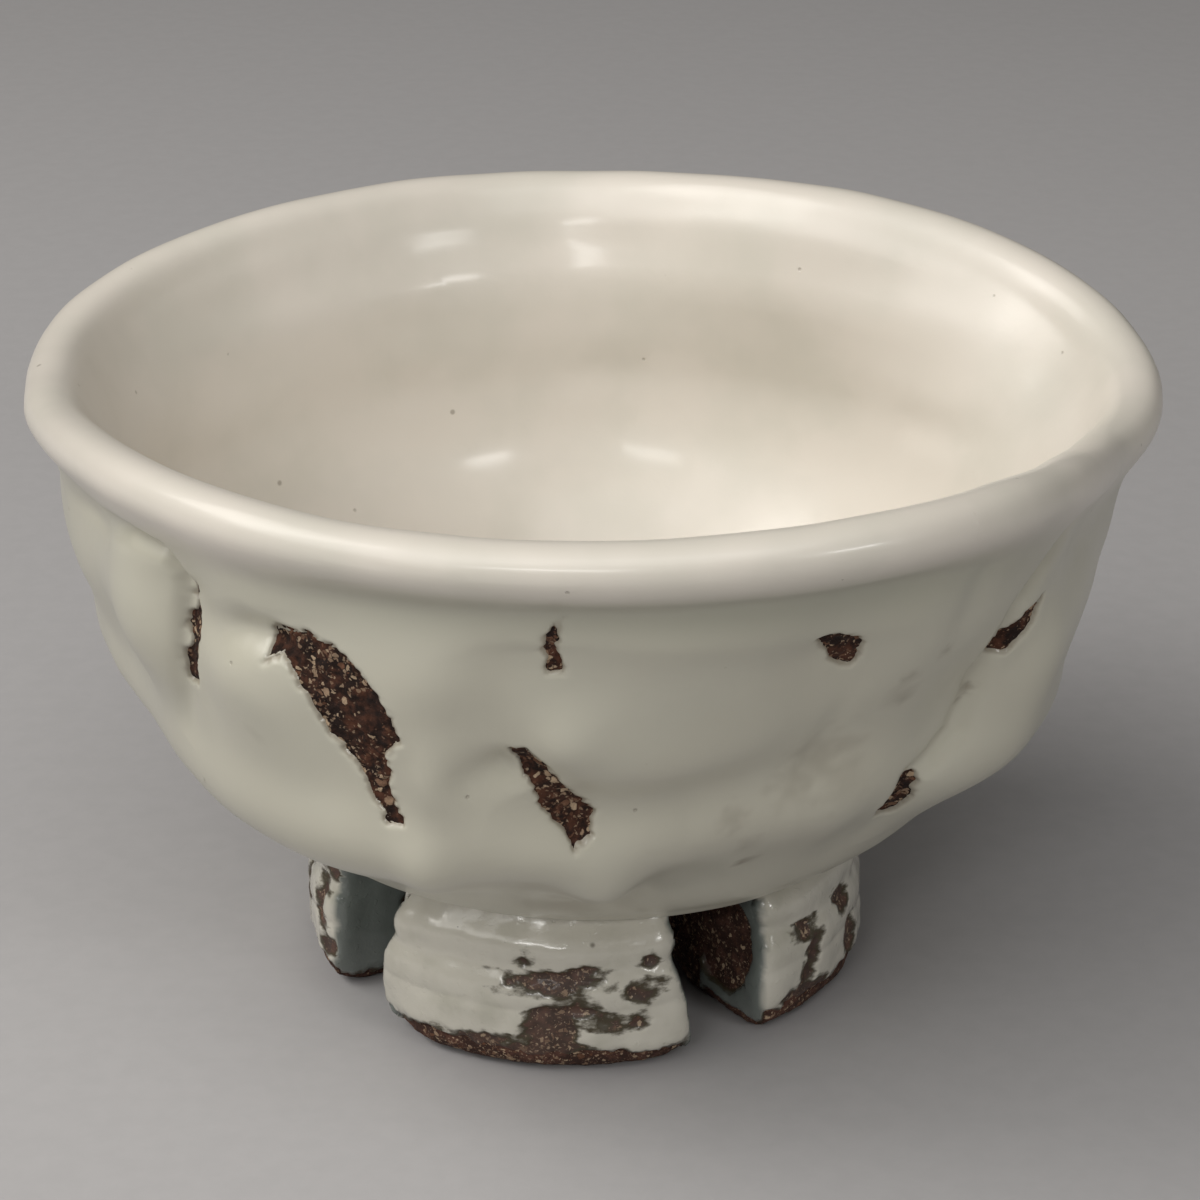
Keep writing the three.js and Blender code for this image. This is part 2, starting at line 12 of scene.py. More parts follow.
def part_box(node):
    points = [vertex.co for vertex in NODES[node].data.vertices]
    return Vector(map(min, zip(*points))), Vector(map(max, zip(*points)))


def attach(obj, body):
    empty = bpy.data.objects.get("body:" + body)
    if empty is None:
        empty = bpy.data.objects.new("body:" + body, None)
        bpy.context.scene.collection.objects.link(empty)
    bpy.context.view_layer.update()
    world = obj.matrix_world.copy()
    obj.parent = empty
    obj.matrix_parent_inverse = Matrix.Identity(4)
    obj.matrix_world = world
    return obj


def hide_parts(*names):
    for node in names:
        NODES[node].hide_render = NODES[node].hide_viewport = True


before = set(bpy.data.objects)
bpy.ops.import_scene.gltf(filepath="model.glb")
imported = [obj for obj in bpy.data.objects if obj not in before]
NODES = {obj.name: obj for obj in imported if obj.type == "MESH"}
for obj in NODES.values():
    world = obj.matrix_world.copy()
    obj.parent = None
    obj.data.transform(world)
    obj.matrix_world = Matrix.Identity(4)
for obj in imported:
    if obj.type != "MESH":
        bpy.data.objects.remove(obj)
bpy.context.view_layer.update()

bl_info = {
    "name": "Split-Foot Tea Bowl",
    "version": (1, 0, 0),
    "blender": (4, 5, 0),
    "location": "3D Viewport > Sidebar > Tea Bowl",
    "description": "Dresses a hand-pressed tea bowl: coarse clay, thick white glaze and a split foot",
    "category": "Object",
}

# Lengths are in metres and angles in degrees. Places on the bowl are given by azimuth and by height
# over the table in millimetres.
MM = 0.001
SIDES = ("front", "right", "back", "left")
FAR = 1.0
WELD = 0.001 * MM


def ceiling_middle():
    """The middle of the flat ceiling over the foot, where the axis of the bowl runs."""
    corners = [vertex.co for vertex in NODES["clay_bowl"].data.vertices]
    lowest = min(corner.z for corner in corners)
    ceiling = [corner for corner in corners if corner.z < lowest + WELD]
    return sum(ceiling, Vector()) / len(ceiling)


GLAZE_LOW, GLAZE_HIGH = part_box("glaze_coat")
GLAZE_DEPTH = GLAZE_HIGH.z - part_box("clay_bowl")[1].z
JOINT_HEIGHT = GLAZE_LOW.z
AXIS = ceiling_middle()

# The photograph's camera, seen from the foot of the axis
CAMERA_PLACE = AXIS * Vector((1, 1, 0)) + Vector((0.63, -377.75, 208.55)) * MM
CAMERA_TILT = 23.4
CAMERA_VIEW = 19.5

# How finely the bowl's surface is cut, and how near a window or a groove the finer meshes begin
SMOOTH_LEVELS = 2
FIT_PASSES = 4
LIP_BAND = 9 * MM
LIP_PASSES = 16
FINE_BANDS = ((6.5 * MM, 4.2 * MM), (2.8 * MM, 2.1 * MM))
EDGE_BAND = 1.4 * MM
WINDOW_REACH = 9 * MM
WALL_SHARE = 0.5
CURVED_SHARE = 0.75
FITTED_BELOW = 3 * MM
FAN_EDGES = 20

# How the wall's outside is told by its normals, and where its marks fade out over the foot
SIDE_MARGIN = 0.1
SIDE_FADE = 0.5
JOINT_FADE = 8 * MM

# How sharply crossing hollows join: the higher, the more the deeper one counts alone
PRESS_POWER = 4

# The throwing rings inside: spacing, start and fade over the floor, fade under the lip, and height
RING_STEP = 1.35 * MM
RING_START = 38 * MM
RING_FADE = 18 * MM
RING_LIP_FADE = 12 * MM
RING_HEIGHT = 0.22 * MM

# The rolled lip: where the marks begin and fade in below it, how far it swells, and where the glaze's
# own paler colour gives way below it to the outside's painted shade
LIP_START = 1 * MM
LIP_FADE = 5.5 * MM
LIP_RISE = 0.5 * MM
UNSHADED_LIP_START = 0.5 * MM
UNSHADED_LIP_FADE = 7.5 * MM

# Where the pushed part of the rim begins and fades in
PUSH_START = 40 * MM
PUSH_FADE = 30 * MM

# Round the windows: the reach of an edge, of the lifted clay and of its grain, how far and how steeply
# the glaze runs on past its edge, and how deep its inner face lies
EDGE_NEAR = 1.1 * MM
LIFT_REACH = 1.3 * MM
LIFT_FADE = 1.2 * MM
GRAIN_REACH = 0.2 * MM
GRAIN_FADE = 0.5 * MM
EDGE_TAIL = 0.5 * MM
EDGE_FALL = 1.2
SHEET_SINK = 0.6 * MM

# The neck: how high over the joint the underside reaches, and how far in its glaze ends
NECK_REACH = 12 * MM
NECK_INSET = 2.6 * MM

# The lobes: how they are softened, how their tops rise into the bowl, their glaze's edge and inner
# face, how far bare places keep off other faces, and how thin the glaze wore
SOFTEN_PASSES = 36
JOIN_START = 16 * MM
JOIN_FADE = 3.4 * MM
JOIN_RISE = 1.3 * MM
FOOT_EDGE_ROUND = 1.8 * MM
FOOT_EDGE_TAIL = 0.35 * MM
FOOT_SHEET_SINK = 0.45 * MM
OTHER_FACE = 5 * MM
CUT_TURN = 14
WORN_THIN = 0.65
FOOT_GRAIN_SHARE = 0.16

# Hollows pressed into the outside: lines of places, each with its depth and half width in millimetres
GROOVES = (
    # The fold on the left, which runs into the slit
    (
        (-171, 64, 0, 3), (-151, 67.8, 1.1, 2.2), (-140, 71.2, 1.7, 1.5), (-134.6, 70.7, 2, 1.2),
        (-133, 68.1, 1.5, 1.2), (-132.8, 64.9, 1.1, 1.4), (-133.9, 59.7, 1, 1.5),
        (-134.9, 53.5, 0.8, 1.7), (-137.2, 46.2, 0, 2.4),
    ),
    # The hollows that lead into the great leaf and the slanting leaf
    (
        (-130, 62.5, 0, 2.8), (-127, 63.6, 0.8, 2.6), (-123, 65, 1.6, 2.1),
        (-120, 65.2, 1.3, 1.8), (-117, 65, 0, 2),
    ),
    (
        (-106, 51, 0, 2.6), (-102, 52, 0.8, 2.6), (-99, 53, 1.7, 2.3), (-97, 53.2, 1, 1.9),
        (-94, 51, 0, 1.8),
    ),
    # The fold on the right, from under the lip down through both slits
    (
        (-30, 71.5, 0, 2.6), (-35.6, 70, 0.9, 2), (-40, 67.6, 1.5, 1.6), (-44.3, 63.7, 1.6, 1.5),
        (-44.5, 60.1, 1.5, 1.5), (-44.9, 55.7, 1.4, 1.5), (-44.4, 52, 1.4, 1.5),
        (-44.9, 47.1, 1.3, 1.5), (-47.8, 44.2, 1.5, 1.5), (-50.5, 42.7, 1.4, 1.6),
        (-48.8, 35.8, 0.5, 2.1), (-48, 31, 0, 2.6),
    ),
    ((-55, 77, 0, 2.6), (-54.3, 71.5, 0.6, 2.6), (-53.7, 67.3, 0.4, 2.6), (-53, 62, 0, 2.6)),
    ((-64, 66, 0, 2.4), (-64, 60, 0.35, 2.2), (-65, 50, 0.35, 2.2), (-66, 42, 0, 2.4)),
    # The long hollow under the lip
    (
        (-124, 72.5, 0, 4.2), (-110.6, 73, 1.2, 3.6), (-101.7, 73.2, 1.5, 3.8),
        (-89.5, 72.8, 1.6, 4), (-77.6, 72.4, 1.7, 4.6), (-69, 72, 1.7, 4.8),
        (-60.5, 73.4, 1.1, 4.4), (-50, 75, 0, 4.2),
    ),
    # The two broad hollows across the front, over and under the belly
    (
        (-104, 63, 0, 5.5), (-97, 64.5, 1.1, 5), (-86, 64, 1.5, 5.5), (-70, 64, 1.3, 6),
        (-57, 63, 0, 6),
    ),
    ((-101, 46, 0, 4), (-92, 45, 1.1, 3.6), (-80, 45, 1.5, 4), (-66, 44, 0, 4)),
    # Folds on the side that the photograph doesn't show
    ((11, 73, 0, 2), (9, 66, 1.2, 1.8), (7.5, 58, 1.1, 1.8), (7, 51, 0, 2.4)),
    ((94, 71, 0, 2.2), (91, 65, 1.2, 2), (86, 55, 1.1, 2), (82, 47, 0, 2.4)),
    ((121, 75, 0, 2), (118.5, 68, 1, 1.8), (116.5, 60, 0.9, 1.8), (115, 53, 0, 2.2)),
    ((170, 74, 0, 2), (168.5, 66, 1.2, 1.8), (167, 57, 1, 1.8), (165, 49, 0, 2.2)),
    ((43, 64, 0, 2.2), (38, 61.5, 0.9, 2.2), (32, 58.8, 0.9, 2.2), (27, 58, 0, 2.2)),
    ((60, 74, 0, 2.6), (62, 67, 0.8, 2.6), (61.5, 60, 0.6, 2.6), (60, 54, 0, 2.6)),
    ((138, 59, 0, 2.6), (143, 52, 0.8, 2.6), (148, 45, 0.7, 2.6), (152, 38, 0, 2.6)),
    (
        (40, 74, 0, 4), (70, 74.5, 0.8, 4.4), (100, 74, 0.7, 4.4), (135, 73, 0.8, 4.2),
        (165, 72, 0, 4),
    ),
)

# Painted shade under the lip: a darker grey-green band along the hollow there, given as places with its
# share and half width
UNDER_LIP_SHADE = (
    (-126, 72, 0, 3), (-110.6, 73, 0.45, 3.2), (-89.5, 73, 0.55, 3.4), (-75, 72.6, 0.65, 4.2),
    (-62, 73, 0.6, 4.6), (-48, 73, 0.3, 4), (-36, 72, 0, 3),
)

# Swellings between them: azimuth, height, half width, half height and rise in millimetres
SWELLINGS = (
    (-84, 53.5, 11, 4, 1.5), (-92.4, 57.5, 3.8, 3.2, 1.5), (-89.4, 36.5, 3.8, 3.4, 2.1),
    (-105, 51.5, 2.4, 5.5, 1.3), (-106.5, 40.5, 3.2, 3.4, 1.7), (-36.6, 49.6, 4.5, 9, 1.2),
    (-142, 61, 6, 8, 0.65), (-116.6, 40.4, 8, 5, 0.5), (-72, 56, 6, 5, 0.5),
    (-121, 69, 6, 3, 0.5), (14, 60, 5, 8, 0.9), (78, 62, 7, 5, 0.9), (100, 56, 5, 7, 0.9),
    (160, 60, 5, 8, 0.9), (40, 44, 8, 5, 0.7), (128, 46, 7, 6, 0.7),
)

# Places where a window is wider or narrower than its cut, or closed by a bridge of glaze: azimuth,
# height, radius in millimetres and how far the edge moves in
BRIDGES = (
    (-132.9, 66.9, 0.9, 1.5), (-132.9, 64.2, 0.7, 1.3), (-133.9, 59.8, 0.9, 1.5),
    (-133.5, 58, 9, -0.25), (-133, 68.8, 1.3, -0.8), (-132.9, 65.5, 0.6, -0.5),
    (-93.4, 67, 5, 0.25), (-93.6, 71.6, 1.2, 1), (-42.2, 64.8, 1.3, 1.2), (-65.4, 62.6, 3, -0.6),
    (-93.7, 43.6, 1.8, 0.7), (-90.4, 43.2, 1.4, -0.5), (-44.3, 61.8, 2.8, -0.8),
    (-50.3, 39.5, 3.2, -0.7), (8, 62, 1.2, 1.3), (118, 64.5, 1.2, 1.3), (168, 58.5, 1.2, 1.3),
)

# Where the rim was pushed out or in: azimuth, half width in degrees and distance in millimetres
RIM_PUSHES = (
    (148, 22, 1.3), (2, 30, 0.5), (178, 11, -0.8), (-14, 9, -0.7),
)

# Faint brown stains under the glaze: azimuth, height, radius in millimetres and strength
STAINS = (
    (-64, 48.9, 4.5, 0.34), (-67, 46.5, 3.5, 0.3), (-61, 45, 3, 0.22), (-74.4, 42.9, 1.8, 0.28),
    (-57.4, 56.7, 1.3, 0.5), (-57.7, 59.8, 1, 0.45), (-55, 62.4, 0.9, 0.4), (-71.5, 39, 1.5, 0.3),
    (-70.2, 35, 1.1, 0.95), (-44.4, 52, 0.9, 0.8), (-45, 50.5, 0.6, 0.6),
    (-122.5, 54.2, 0.8, 0.35), (20, 47, 3.5, 0.3), (75, 44, 1, 0.7), (135, 60, 3, 0.25),
)

# Bands that the fingers left round the foot: height, half height and rise in millimetres
FOOT_BANDS = (
    (18.6, 1.3, -0.7), (15.6, 1.2, 0.75), (13, 1.1, -0.2), (11, 1.2, 0.1), (8.6, 0.7, -0.16),
    (2.4, 1.6, 0.3),
)

# Where the foot's glaze broke open over the clay, on the outward faces: azimuth, height, half width
# and half height in millimetres
BREAKS = (
    (-97.5, 11.9, 4.2, 1.1), (-98.3, 5.4, 3, 4.2), (-94, 8.6, 2.6, 1), (-104, 2.6, 5, 2),
    (-112, 2.4, 5, 2.2), (-88.4, 7.2, 1.6, 0.5), (-79.2, 14.4, 0.6, 0.5), (-80.8, 10.7, 0.9, 0.4),
    (-81.4, 7.2, 0.8, 0.6), (-104, 14.5, 0.5, 0.4), (-92.5, 13.2, 0.9, 0.5),
    (-163, 10.5, 1.1, 2.4), (-159.5, 5.6, 1.5, 1.3), (-158, 15.2, 1.6, 0.7), (-174, 9, 1.4, 3),
    (-38.6, 12, 1.5, 1.1), (-36.8, 9.4, 0.9, 1.8), (-38.4, 6, 1.2, 1.4), (-40, 3.6, 3.6, 1.6),
    (-24, 12.3, 1.5, 1.3), (-20, 6.5, 1.9, 2.4), (10, 8, 1.8, 0.8), (52, 6, 3.6, 1.4),
    (86, 11, 2.6, 1.2), (100, 5.5, 2.4, 1.8), (150, 5.5, 3, 1.2),
)

# Corners of the lobes that were pressed round: azimuth, height, half width, half height and depth in
# millimetres
WORN_CORNERS = (
    (-138, 1, 3.5, 6, 1.4), (-68, 0, 2.5, 4, 1.1), (132, 1, 3.5, 6, 1.2), (42, 1, 3, 6, 1),
)

# Cut faces with a bare middle: azimuth of the face, radius, height and their halves in millimetres
BARE_CUTS = (
    (-50, 23.6, 9.5, 5, 6), (40, 24, 8.5, 5, 4.5),
)


# Numbers and noise

GRADIENT_COUNT = 256
GRADIENTS = np.random.default_rng(11).normal(size=(GRADIENT_COUNT, 3))
GRADIENTS /= np.linalg.norm(GRADIENTS, axis=1, keepdims=True)
ORDER = np.random.default_rng(12).permutation(GRADIENT_COUNT)
NOISE_GAIN = 1.7
SEED_STEP = np.array((17.3, 31.7, 53.9))


def noise(places, size, seed=0):
    """Smooth noise from about -1 to 1, with bumps of the given size in millimetres."""
    spot = places / (size * MM) + seed * SEED_STEP
    cell = np.floor(spot).astype(int)
    inside = spot - cell
    soft = inside**3 * (inside * (inside * 6 - 15) + 10)
    total = np.zeros(len(places))
    for corner in itertools.product((0, 1), repeat=3):
        corner = np.array(corner)
        index = 0
        for step in (cell + corner).T:
            index = ORDER[(index + step) % GRADIENT_COUNT]
        weight = np.prod(np.where(corner, soft, 1 - soft), axis=1)
        total += weight * np.einsum("ij,ij->i", GRADIENTS[index], inside - corner)
    return total * NOISE_GAIN


def noises(places, *layers):
    """A sum of noises, each with its height, the size of its bumps in millimetres and its seed."""
    return sum(height * noise(places, size, seed) for height, size, seed in layers)


def ease(share):
    """A smooth step from 0 to 1."""
    share = np.clip(share, 0, 1)
    return share * share * (3 - 2 * share)


def bell(share):
    """A bell curve, 1 in the middle and near 0 from 2 on."""
    return np.exp(-share * share)


def rolled(share):
    """The height of an edge rolled to a quarter circle."""
    return np.sqrt(1 - (1 - share) ** 2)


def lengths(vectors):
    return np.linalg.norm(vectors, axis=1)


# Meshes


def vectors_of(items, name):
    flat = np.empty(len(items) * 3, np.float32)
    items.foreach_get(name, flat)
    return flat.reshape(-1, 3).astype(float)


def corner_places(mesh):
    return vectors_of(mesh.vertices, "co")


def corner_normals(mesh):
    return vectors_of(mesh.vertex_normals, "vector")


def move_corners(mesh, places):
    mesh.vertices.foreach_set("co", places.astype(np.float32).ravel())
    mesh.update()


def face_corners(mesh):
    return [tuple(face.vertices) for face in mesh.polygons]


def welded(node):
    """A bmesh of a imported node, with its loose triangles welded to one surface."""
    bm = bmesh.new()
    bm.from_mesh(NODES[node].data)
    bmesh.ops.remove_doubles(bm, verts=bm.verts, dist=WELD)
    bmesh.ops.recalc_face_normals(bm, faces=bm.faces)
    return bm


def as_mesh(bm):
    """The bmesh as a mesh; the bmesh goes."""
    mesh = bpy.data.meshes.new("mesh")
    bm.to_mesh(mesh)
    bm.free()
    return mesh


def added(name, data):
    """A new object in the scene."""
    item = bpy.data.objects.new(name, data)
    bpy.context.scene.collection.objects.link(item)
    return item


def evaluated(holder):
    bpy.context.view_layer.update()
    return holder.evaluated_get(bpy.context.evaluated_depsgraph_get())


def applied(holder):
    """The holder's mesh with its modifiers applied; the holder goes."""
    mesh = bpy.data.meshes.new_from_object(evaluated(holder))
    before = holder.data
    bpy.data.objects.remove(holder)
    bpy.data.meshes.remove(before)
    return mesh


def smoothed(bm, levels):
    """Subdivides a coarse mesh into a smooth one that passes through its corners below the lip."""
    cage = bpy.data.meshes.new("cage")
    bm.to_mesh(cage)
    aim = corner_places(cage)
    fitted = (below_lip(aim) > FITTED_BELOW)[:, None]
    holder = added("cage", cage)
    subdivide = holder.modifiers.new("subdivide", "SUBSURF")
    subdivide.levels = 1
    for _ in range(FIT_PASSES):
        reached = corner_places(evaluated(holder).data)[: len(aim)]
        move_corners(cage, corner_places(cage) + (aim - reached) * fitted)
    subdivide.levels = levels
    return applied(holder)


def split_faces(bm, chosen):
    """Cuts each chosen face into four."""
    edges = {edge for face, pick in zip(bm.faces, chosen) if pick for edge in face.edges}
    bmesh.ops.subdivide_edges(bm, edges=list(edges), cuts=1, use_grid_fill=True)


class Rounding:
    """A smooth surface over a mesh, so that a finer mesh on it isn't flat between its corners."""

    def __init__(self, mesh):
        mesh.calc_loop_triangles()
        self.triangles = np.array([tuple(face.vertices) for face in mesh.loop_triangles])
        self.places = corner_places(mesh)
        self.normals = corner_normals(mesh)
        self.tree = BVHTree.FromPolygons(self.places.tolist(), self.triangles.tolist())

    def at(self, places):
        """Places and normals of the smooth surface nearest to the given places."""
        found = [self.tree.find_nearest(place) for place in places.tolist()]
        near = np.array([hit[0] for hit in found])
        corners = self.triangles[[hit[2] for hit in found]]
        a, b, c = np.moveaxis(self.places[corners], 1, 0)
        whole = np.cross(b - a, c - a)
        size = np.einsum("ij,ij->i", whole, whole)
        share_b = np.einsum("ij,ij->i", np.cross(near - a, c - a), whole) / size
        share_c = np.einsum("ij,ij->i", np.cross(b - a, near - a), whole) / size
        shares = np.stack((1 - share_b - share_c, share_b, share_c), axis=1)
        normals = self.normals[corners]
        off = np.einsum("nij,nij->ni", near[:, None] - self.places[corners], normals)
        bend = np.einsum("ni,ni,nij->nj", shares, off, normals)
        normal = np.einsum("ni,nij->nj", shares, normals)
        return near - CURVED_SHARE * bend, normal / lengths(normal)[:, None]


def new_piece(name, mesh, material, replaced):
    """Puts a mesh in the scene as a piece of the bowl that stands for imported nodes."""
    mesh.name = name
    mesh.materials.append(material)
    mesh.shade_smooth()
    piece = added(name, mesh)
    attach(piece, "root")
    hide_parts(*replaced)


def paint(mesh, name, values):
    """Keeps one value for each corner of the mesh, for its material to read."""
    attribute = mesh.attributes.new(name, "FLOAT", "POINT")
    attribute.data.foreach_set("value", values.astype(np.float32))


def sheet_mesh(outer, inner, faces, shown, values, share):
    """A closed sheet of glaze over the faces that it shows on, with the given values painted on it.

    The inner face, which nobody sees, keeps only a share of its triangles.
    """
    kept = [face for face in faces if any(shown[corner] for corner in face)]
    used = sorted({corner for face in kept for corner in face})
    place = {corner: index for index, corner in enumerate(used)}
    kept = [tuple(place[corner] for corner in face) for face in kept]
    count = len(used)
    edges = {pair for face in kept for pair in zip(face, face[1:] + face[:1])}
    rim = [(b, a, a + count, b + count) for a, b in edges if (b, a) not in edges]
    under = [tuple(corner + count for corner in reversed(face)) for face in kept]
    mesh = bpy.data.meshes.new("sheet")
    corners = np.concatenate((outer[used], inner[used]))
    mesh.from_pydata(corners.tolist(), [], kept + under + sorted(rim))
    for label, value in values.items():
        paint(mesh, label, np.concatenate((value[used], value[used])))
    holder = added("sheet", mesh)
    group = holder.vertex_groups.new(name="under")
    group.add(list(range(count, 2 * count)), 1.0, "REPLACE")
    decimate = holder.modifiers.new("thin", "DECIMATE")
    decimate.vertex_group = group.name
    decimate.ratio = 0.5 + share / 2
    return applied(holder)


# The bowl's own measures


def polar(places):
    """Azimuth in degrees, radius and height of places about the axis."""
    aside = places - np.array(AXIS)
    azimuth = np.degrees(np.arctan2(aside[:, 1], aside[:, 0]))
    return azimuth, np.hypot(aside[:, 0], aside[:, 1]), places[:, 2]


@functools.cache
def lip_table():
    """The height of the clay's lip, turn by turn."""
    azimuth, _, height = polar(corner_places(NODES["clay_bowl"].data))
    turns = np.arange(0, 360, 6.0)
    return turns, [height[np.abs(turned(azimuth, turn)) < 4].max() for turn in turns]


def below_lip(places):
    """How far places lie below the lip at their azimuth."""
    azimuth, _, height = polar(places)
    return np.interp(azimuth, *lip_table(), period=360) - height


@functools.cache
def joint_radius():
    """The radius of the glaze where it ends over the foot."""
    _, radius, height = polar(corner_places(NODES["glaze_coat"].data))
    return radius[height < JOINT_HEIGHT + WELD].max()


def turned(azimuth, middle):
    """Degrees from a middle, the short way round."""
    return (azimuth - middle + 180) % 360 - 180


def from_axis(places):
    """Level directions from the axis to places."""
    aside = (places - np.array(AXIS))[:, :2]
    return aside / np.maximum(lengths(aside), WELD)[:, None]


def outward(places, normals):
    """How far each normal looks away from the axis: 1 outside, -1 inside."""
    return np.einsum("ij,ij->i", from_axis(places), normals[:, :2])


def line_hollow(places, line):
    """Distance along the wall to a line of places, and the hollow that it presses there."""
    azimuth, radius, height = polar(places)
    nearest = np.full(len(places), FAR)
    hollow = np.zeros(len(places))
    for (start, low, depth, half), (end, high, next_depth, next_half) in zip(line, line[1:]):
        across = np.radians(turned(azimuth, start)) * radius
        up = height - low * MM
        run = np.radians(end - start) * radius
        rise = (high - low) * MM
        along = np.clip((across * run + up * rise) / (run * run + rise * rise), 0, 1)
        distance = np.hypot(across - along * run, up - along * rise)
        share = distance / ((half + along * (next_half - half)) * MM)
        here = (depth + along * (next_depth - depth)) * MM * bell(share)
        hollow = np.maximum(hollow, here)
        nearest = np.minimum(nearest, distance)
    return nearest, hollow


def spot_distance(places, azimuth, height, half_width, half_height):
    """Distance to a spot on the wall, in half widths and half heights."""
    at, radius, level = polar(places)
    across = np.radians(turned(at, azimuth)) * radius / (half_width * MM)
    return np.hypot(across, (level - height * MM) / (half_height * MM))


def mound(places, *spot):
    """A bell from 0 to 1 over a spot on the wall."""
    return bell(spot_distance(places, *spot))


def groove_distance(places, outside):
    distance = np.full(len(places), FAR)
    for line in GROOVES:
        distance = np.minimum(distance, line_hollow(places, line)[0])
    return np.where(outside, distance, FAR)


@functools.cache
def window_trees():
    """Search trees of the glaze and of the walls that the windows cut in it."""
    bm = welded("glaze_coat")
    clay = Rounding(clay_cage()).tree
    places = [vertex.co[:] for vertex in bm.verts]
    faces = [[vertex.index for vertex in face.verts] for face in bm.faces]
    bm.free()
    depth = np.array([clay.find_nearest(place)[3] for place in places])
    height = np.array(places)[:, 2]
    low = JOINT_HEIGHT + 3 * MM
    walls = [
        face
        for face in faces
        if np.ptp(depth[face]) > WALL_SHARE * GLAZE_DEPTH and height[face].min() > low
    ]
    return BVHTree.FromPolygons(places, faces), BVHTree.FromPolygons(places, walls)


def window_distance(places, normals):
    """Distance to the nearest edge of a window: above 0 under the glaze, below 0 in the window."""
    glaze, walls = window_trees()
    distance = np.full(len(places), FAR)
    starts = places + normals * 0.05 * MM
    middles = places + normals * GLAZE_DEPTH * 0.6
    for index, middle in enumerate(middles.tolist()):
        gap = walls.find_nearest(middle, WINDOW_REACH)[3]
        if gap is None:
            continue
        covered = glaze.ray_cast(starts[index], normals[index], 3 * GLAZE_DEPTH)[0]
        distance[index] = gap if covered is not None else -gap
    return distance


@functools.cache
def clay_cage():
    """The smooth surface of the clay bowl, under the glaze."""
    bm = welded("clay_bowl")
    away = [face for face in bm.faces if all(len(v.link_edges) < FAN_EDGES for v in face.verts)]
    limits = {"angle_face_threshold": math.pi, "angle_shape_threshold": math.pi}
    bmesh.ops.join_triangles(bm, faces=away, **limits)
    mesh = smoothed(bm, SMOOTH_LEVELS)
    bm.clear()
    bm.from_mesh(mesh)
    near_lip = below_lip(corner_places(mesh)) < LIP_BAND
    lip = [vertex for vertex, near in zip(bm.verts, near_lip) if near]
    for _ in range(LIP_PASSES):
        bmesh.ops.smooth_vert(bm, verts=lip, factor=0.5, **{"use_axis_" + axis: True for axis in "xyz"})
    bm.to_mesh(mesh)
    bm.free()
    return mesh


def push_rim(places):
    """Moves the upper part of the bowl out or in where it was pushed."""
    azimuth, _, height = polar(places)
    reach = ease((height - PUSH_START) / PUSH_FADE)
    push = sum(far * MM * bell(turned(azimuth, at) / half) for at, half, far in RIM_PUSHES)
    places[:, :2] += from_axis(places) * (push * reach)[:, None]


def bowl_skin():
    """The clay bowl's surface, cut finer towards the windows and the grooves."""
    cage = clay_cage()
    rounding = Rounding(cage)
    bm = bmesh.new()
    bm.from_mesh(cage)
    for window_band, groove_band in FINE_BANDS + ((EDGE_BAND, 0),):
        bm.faces.ensure_lookup_table()
        middles = np.array([face.calc_center_median() for face in bm.faces])
        places, normals = rounding.at(middles)
        outside = outward(places, normals) > SIDE_MARGIN
        window = window_distance(places, normals)
        groove = groove_distance(places, outside)
        split_faces(bm, (window < window_band) | (groove < groove_band))
    mesh = as_mesh(bm)
    places, normals = rounding.at(corner_places(mesh))
    faces = face_corners(mesh)
    bpy.data.meshes.remove(mesh)
    cut = window_distance(places, normals)
    push_rim(places)
    return places, normals, faces, cut


def hand_marks(places, normals):
    """How far the potter's hands and the wheel raised the surface, clay and glaze alike."""
    azimuth, _, height = polar(places)
    side = outward(places, normals)
    below = below_lip(places)
    outside = ease((side + SIDE_MARGIN) / SIDE_FADE) * ease((height - JOINT_HEIGHT) / JOINT_FADE)
    pressed = sum((line_hollow(places, line)[1] / MM) ** PRESS_POWER for line in GROOVES)
    rise = -(pressed ** (1 / PRESS_POWER)) * MM
    for *spot, swell in SWELLINGS:
        rise += swell * MM * mound(places, *spot)
    rise += noises(places, (0.2, 15, 1), (0.08, 6, 2)) * MM
    inside = ease((SIDE_MARGIN - side) / SIDE_FADE)
    drift = noise(places, 24, 3)
    rings = np.sin(height / RING_STEP + np.radians(azimuth) + 1.6 * drift)
    rings *= ease((height - RING_START) / RING_FADE) * ease(below / RING_LIP_FADE) * (0.7 + 0.5 * drift)
    throwing = RING_HEIGHT * rings + 0.16 * MM * noise(places, 17, 4)
    clear = ease((below - LIP_START) / LIP_FADE)
    lip = LIP_RISE + 0.12 * MM * noise(places, 12, 5)
    return clear * (outside * rise + inside * throwing) + (1 - clear) * lip


def ragged(places, distance):
    """A distance to an edge, moved to and fro so that the edge runs ragged."""
    for azimuth, height, radius, move in BRIDGES:
        distance = distance + move * MM * mound(places, azimuth, height, radius, radius)
    rough = noises(places, (0.38, 1.6, 6), (0.26, 0.75, 7))
    return distance + rough * bell(distance / EDGE_NEAR) * MM


def window_lift(window):
    """How far the clay stands up in a window and for a little way under the glaze round it."""
    looks = bpy.context.scene.tea_bowl_clay
    return looks.window_lift * ease((LIFT_REACH - window) / LIFT_FADE)


def foot_edge(places, normals):
    """Distance of the bowl's glaze from its lower edge, where it stops over the foot."""
    _, radius, height = polar(places)
    under = (normals[:, 2] < 0) & (height < JOINT_HEIGHT + NECK_REACH)
    edge = joint_radius() - NECK_INSET + 0.4 * MM * noise(places, 6, 8)
    return np.where(under, radius - edge, FAR)


@functools.cache
def bowl_form():
    """The bowl's skin with its distances to the windows, as cut and ragged, and to the neck's edge,
    and the rise of its hand marks."""
    places, normals, faces, cut = bowl_skin()
    window = ragged(places, cut)
    neck = foot_edge(places, normals)
    return places, normals, faces, cut, window, neck, hand_marks(places, normals)


# Shader tools


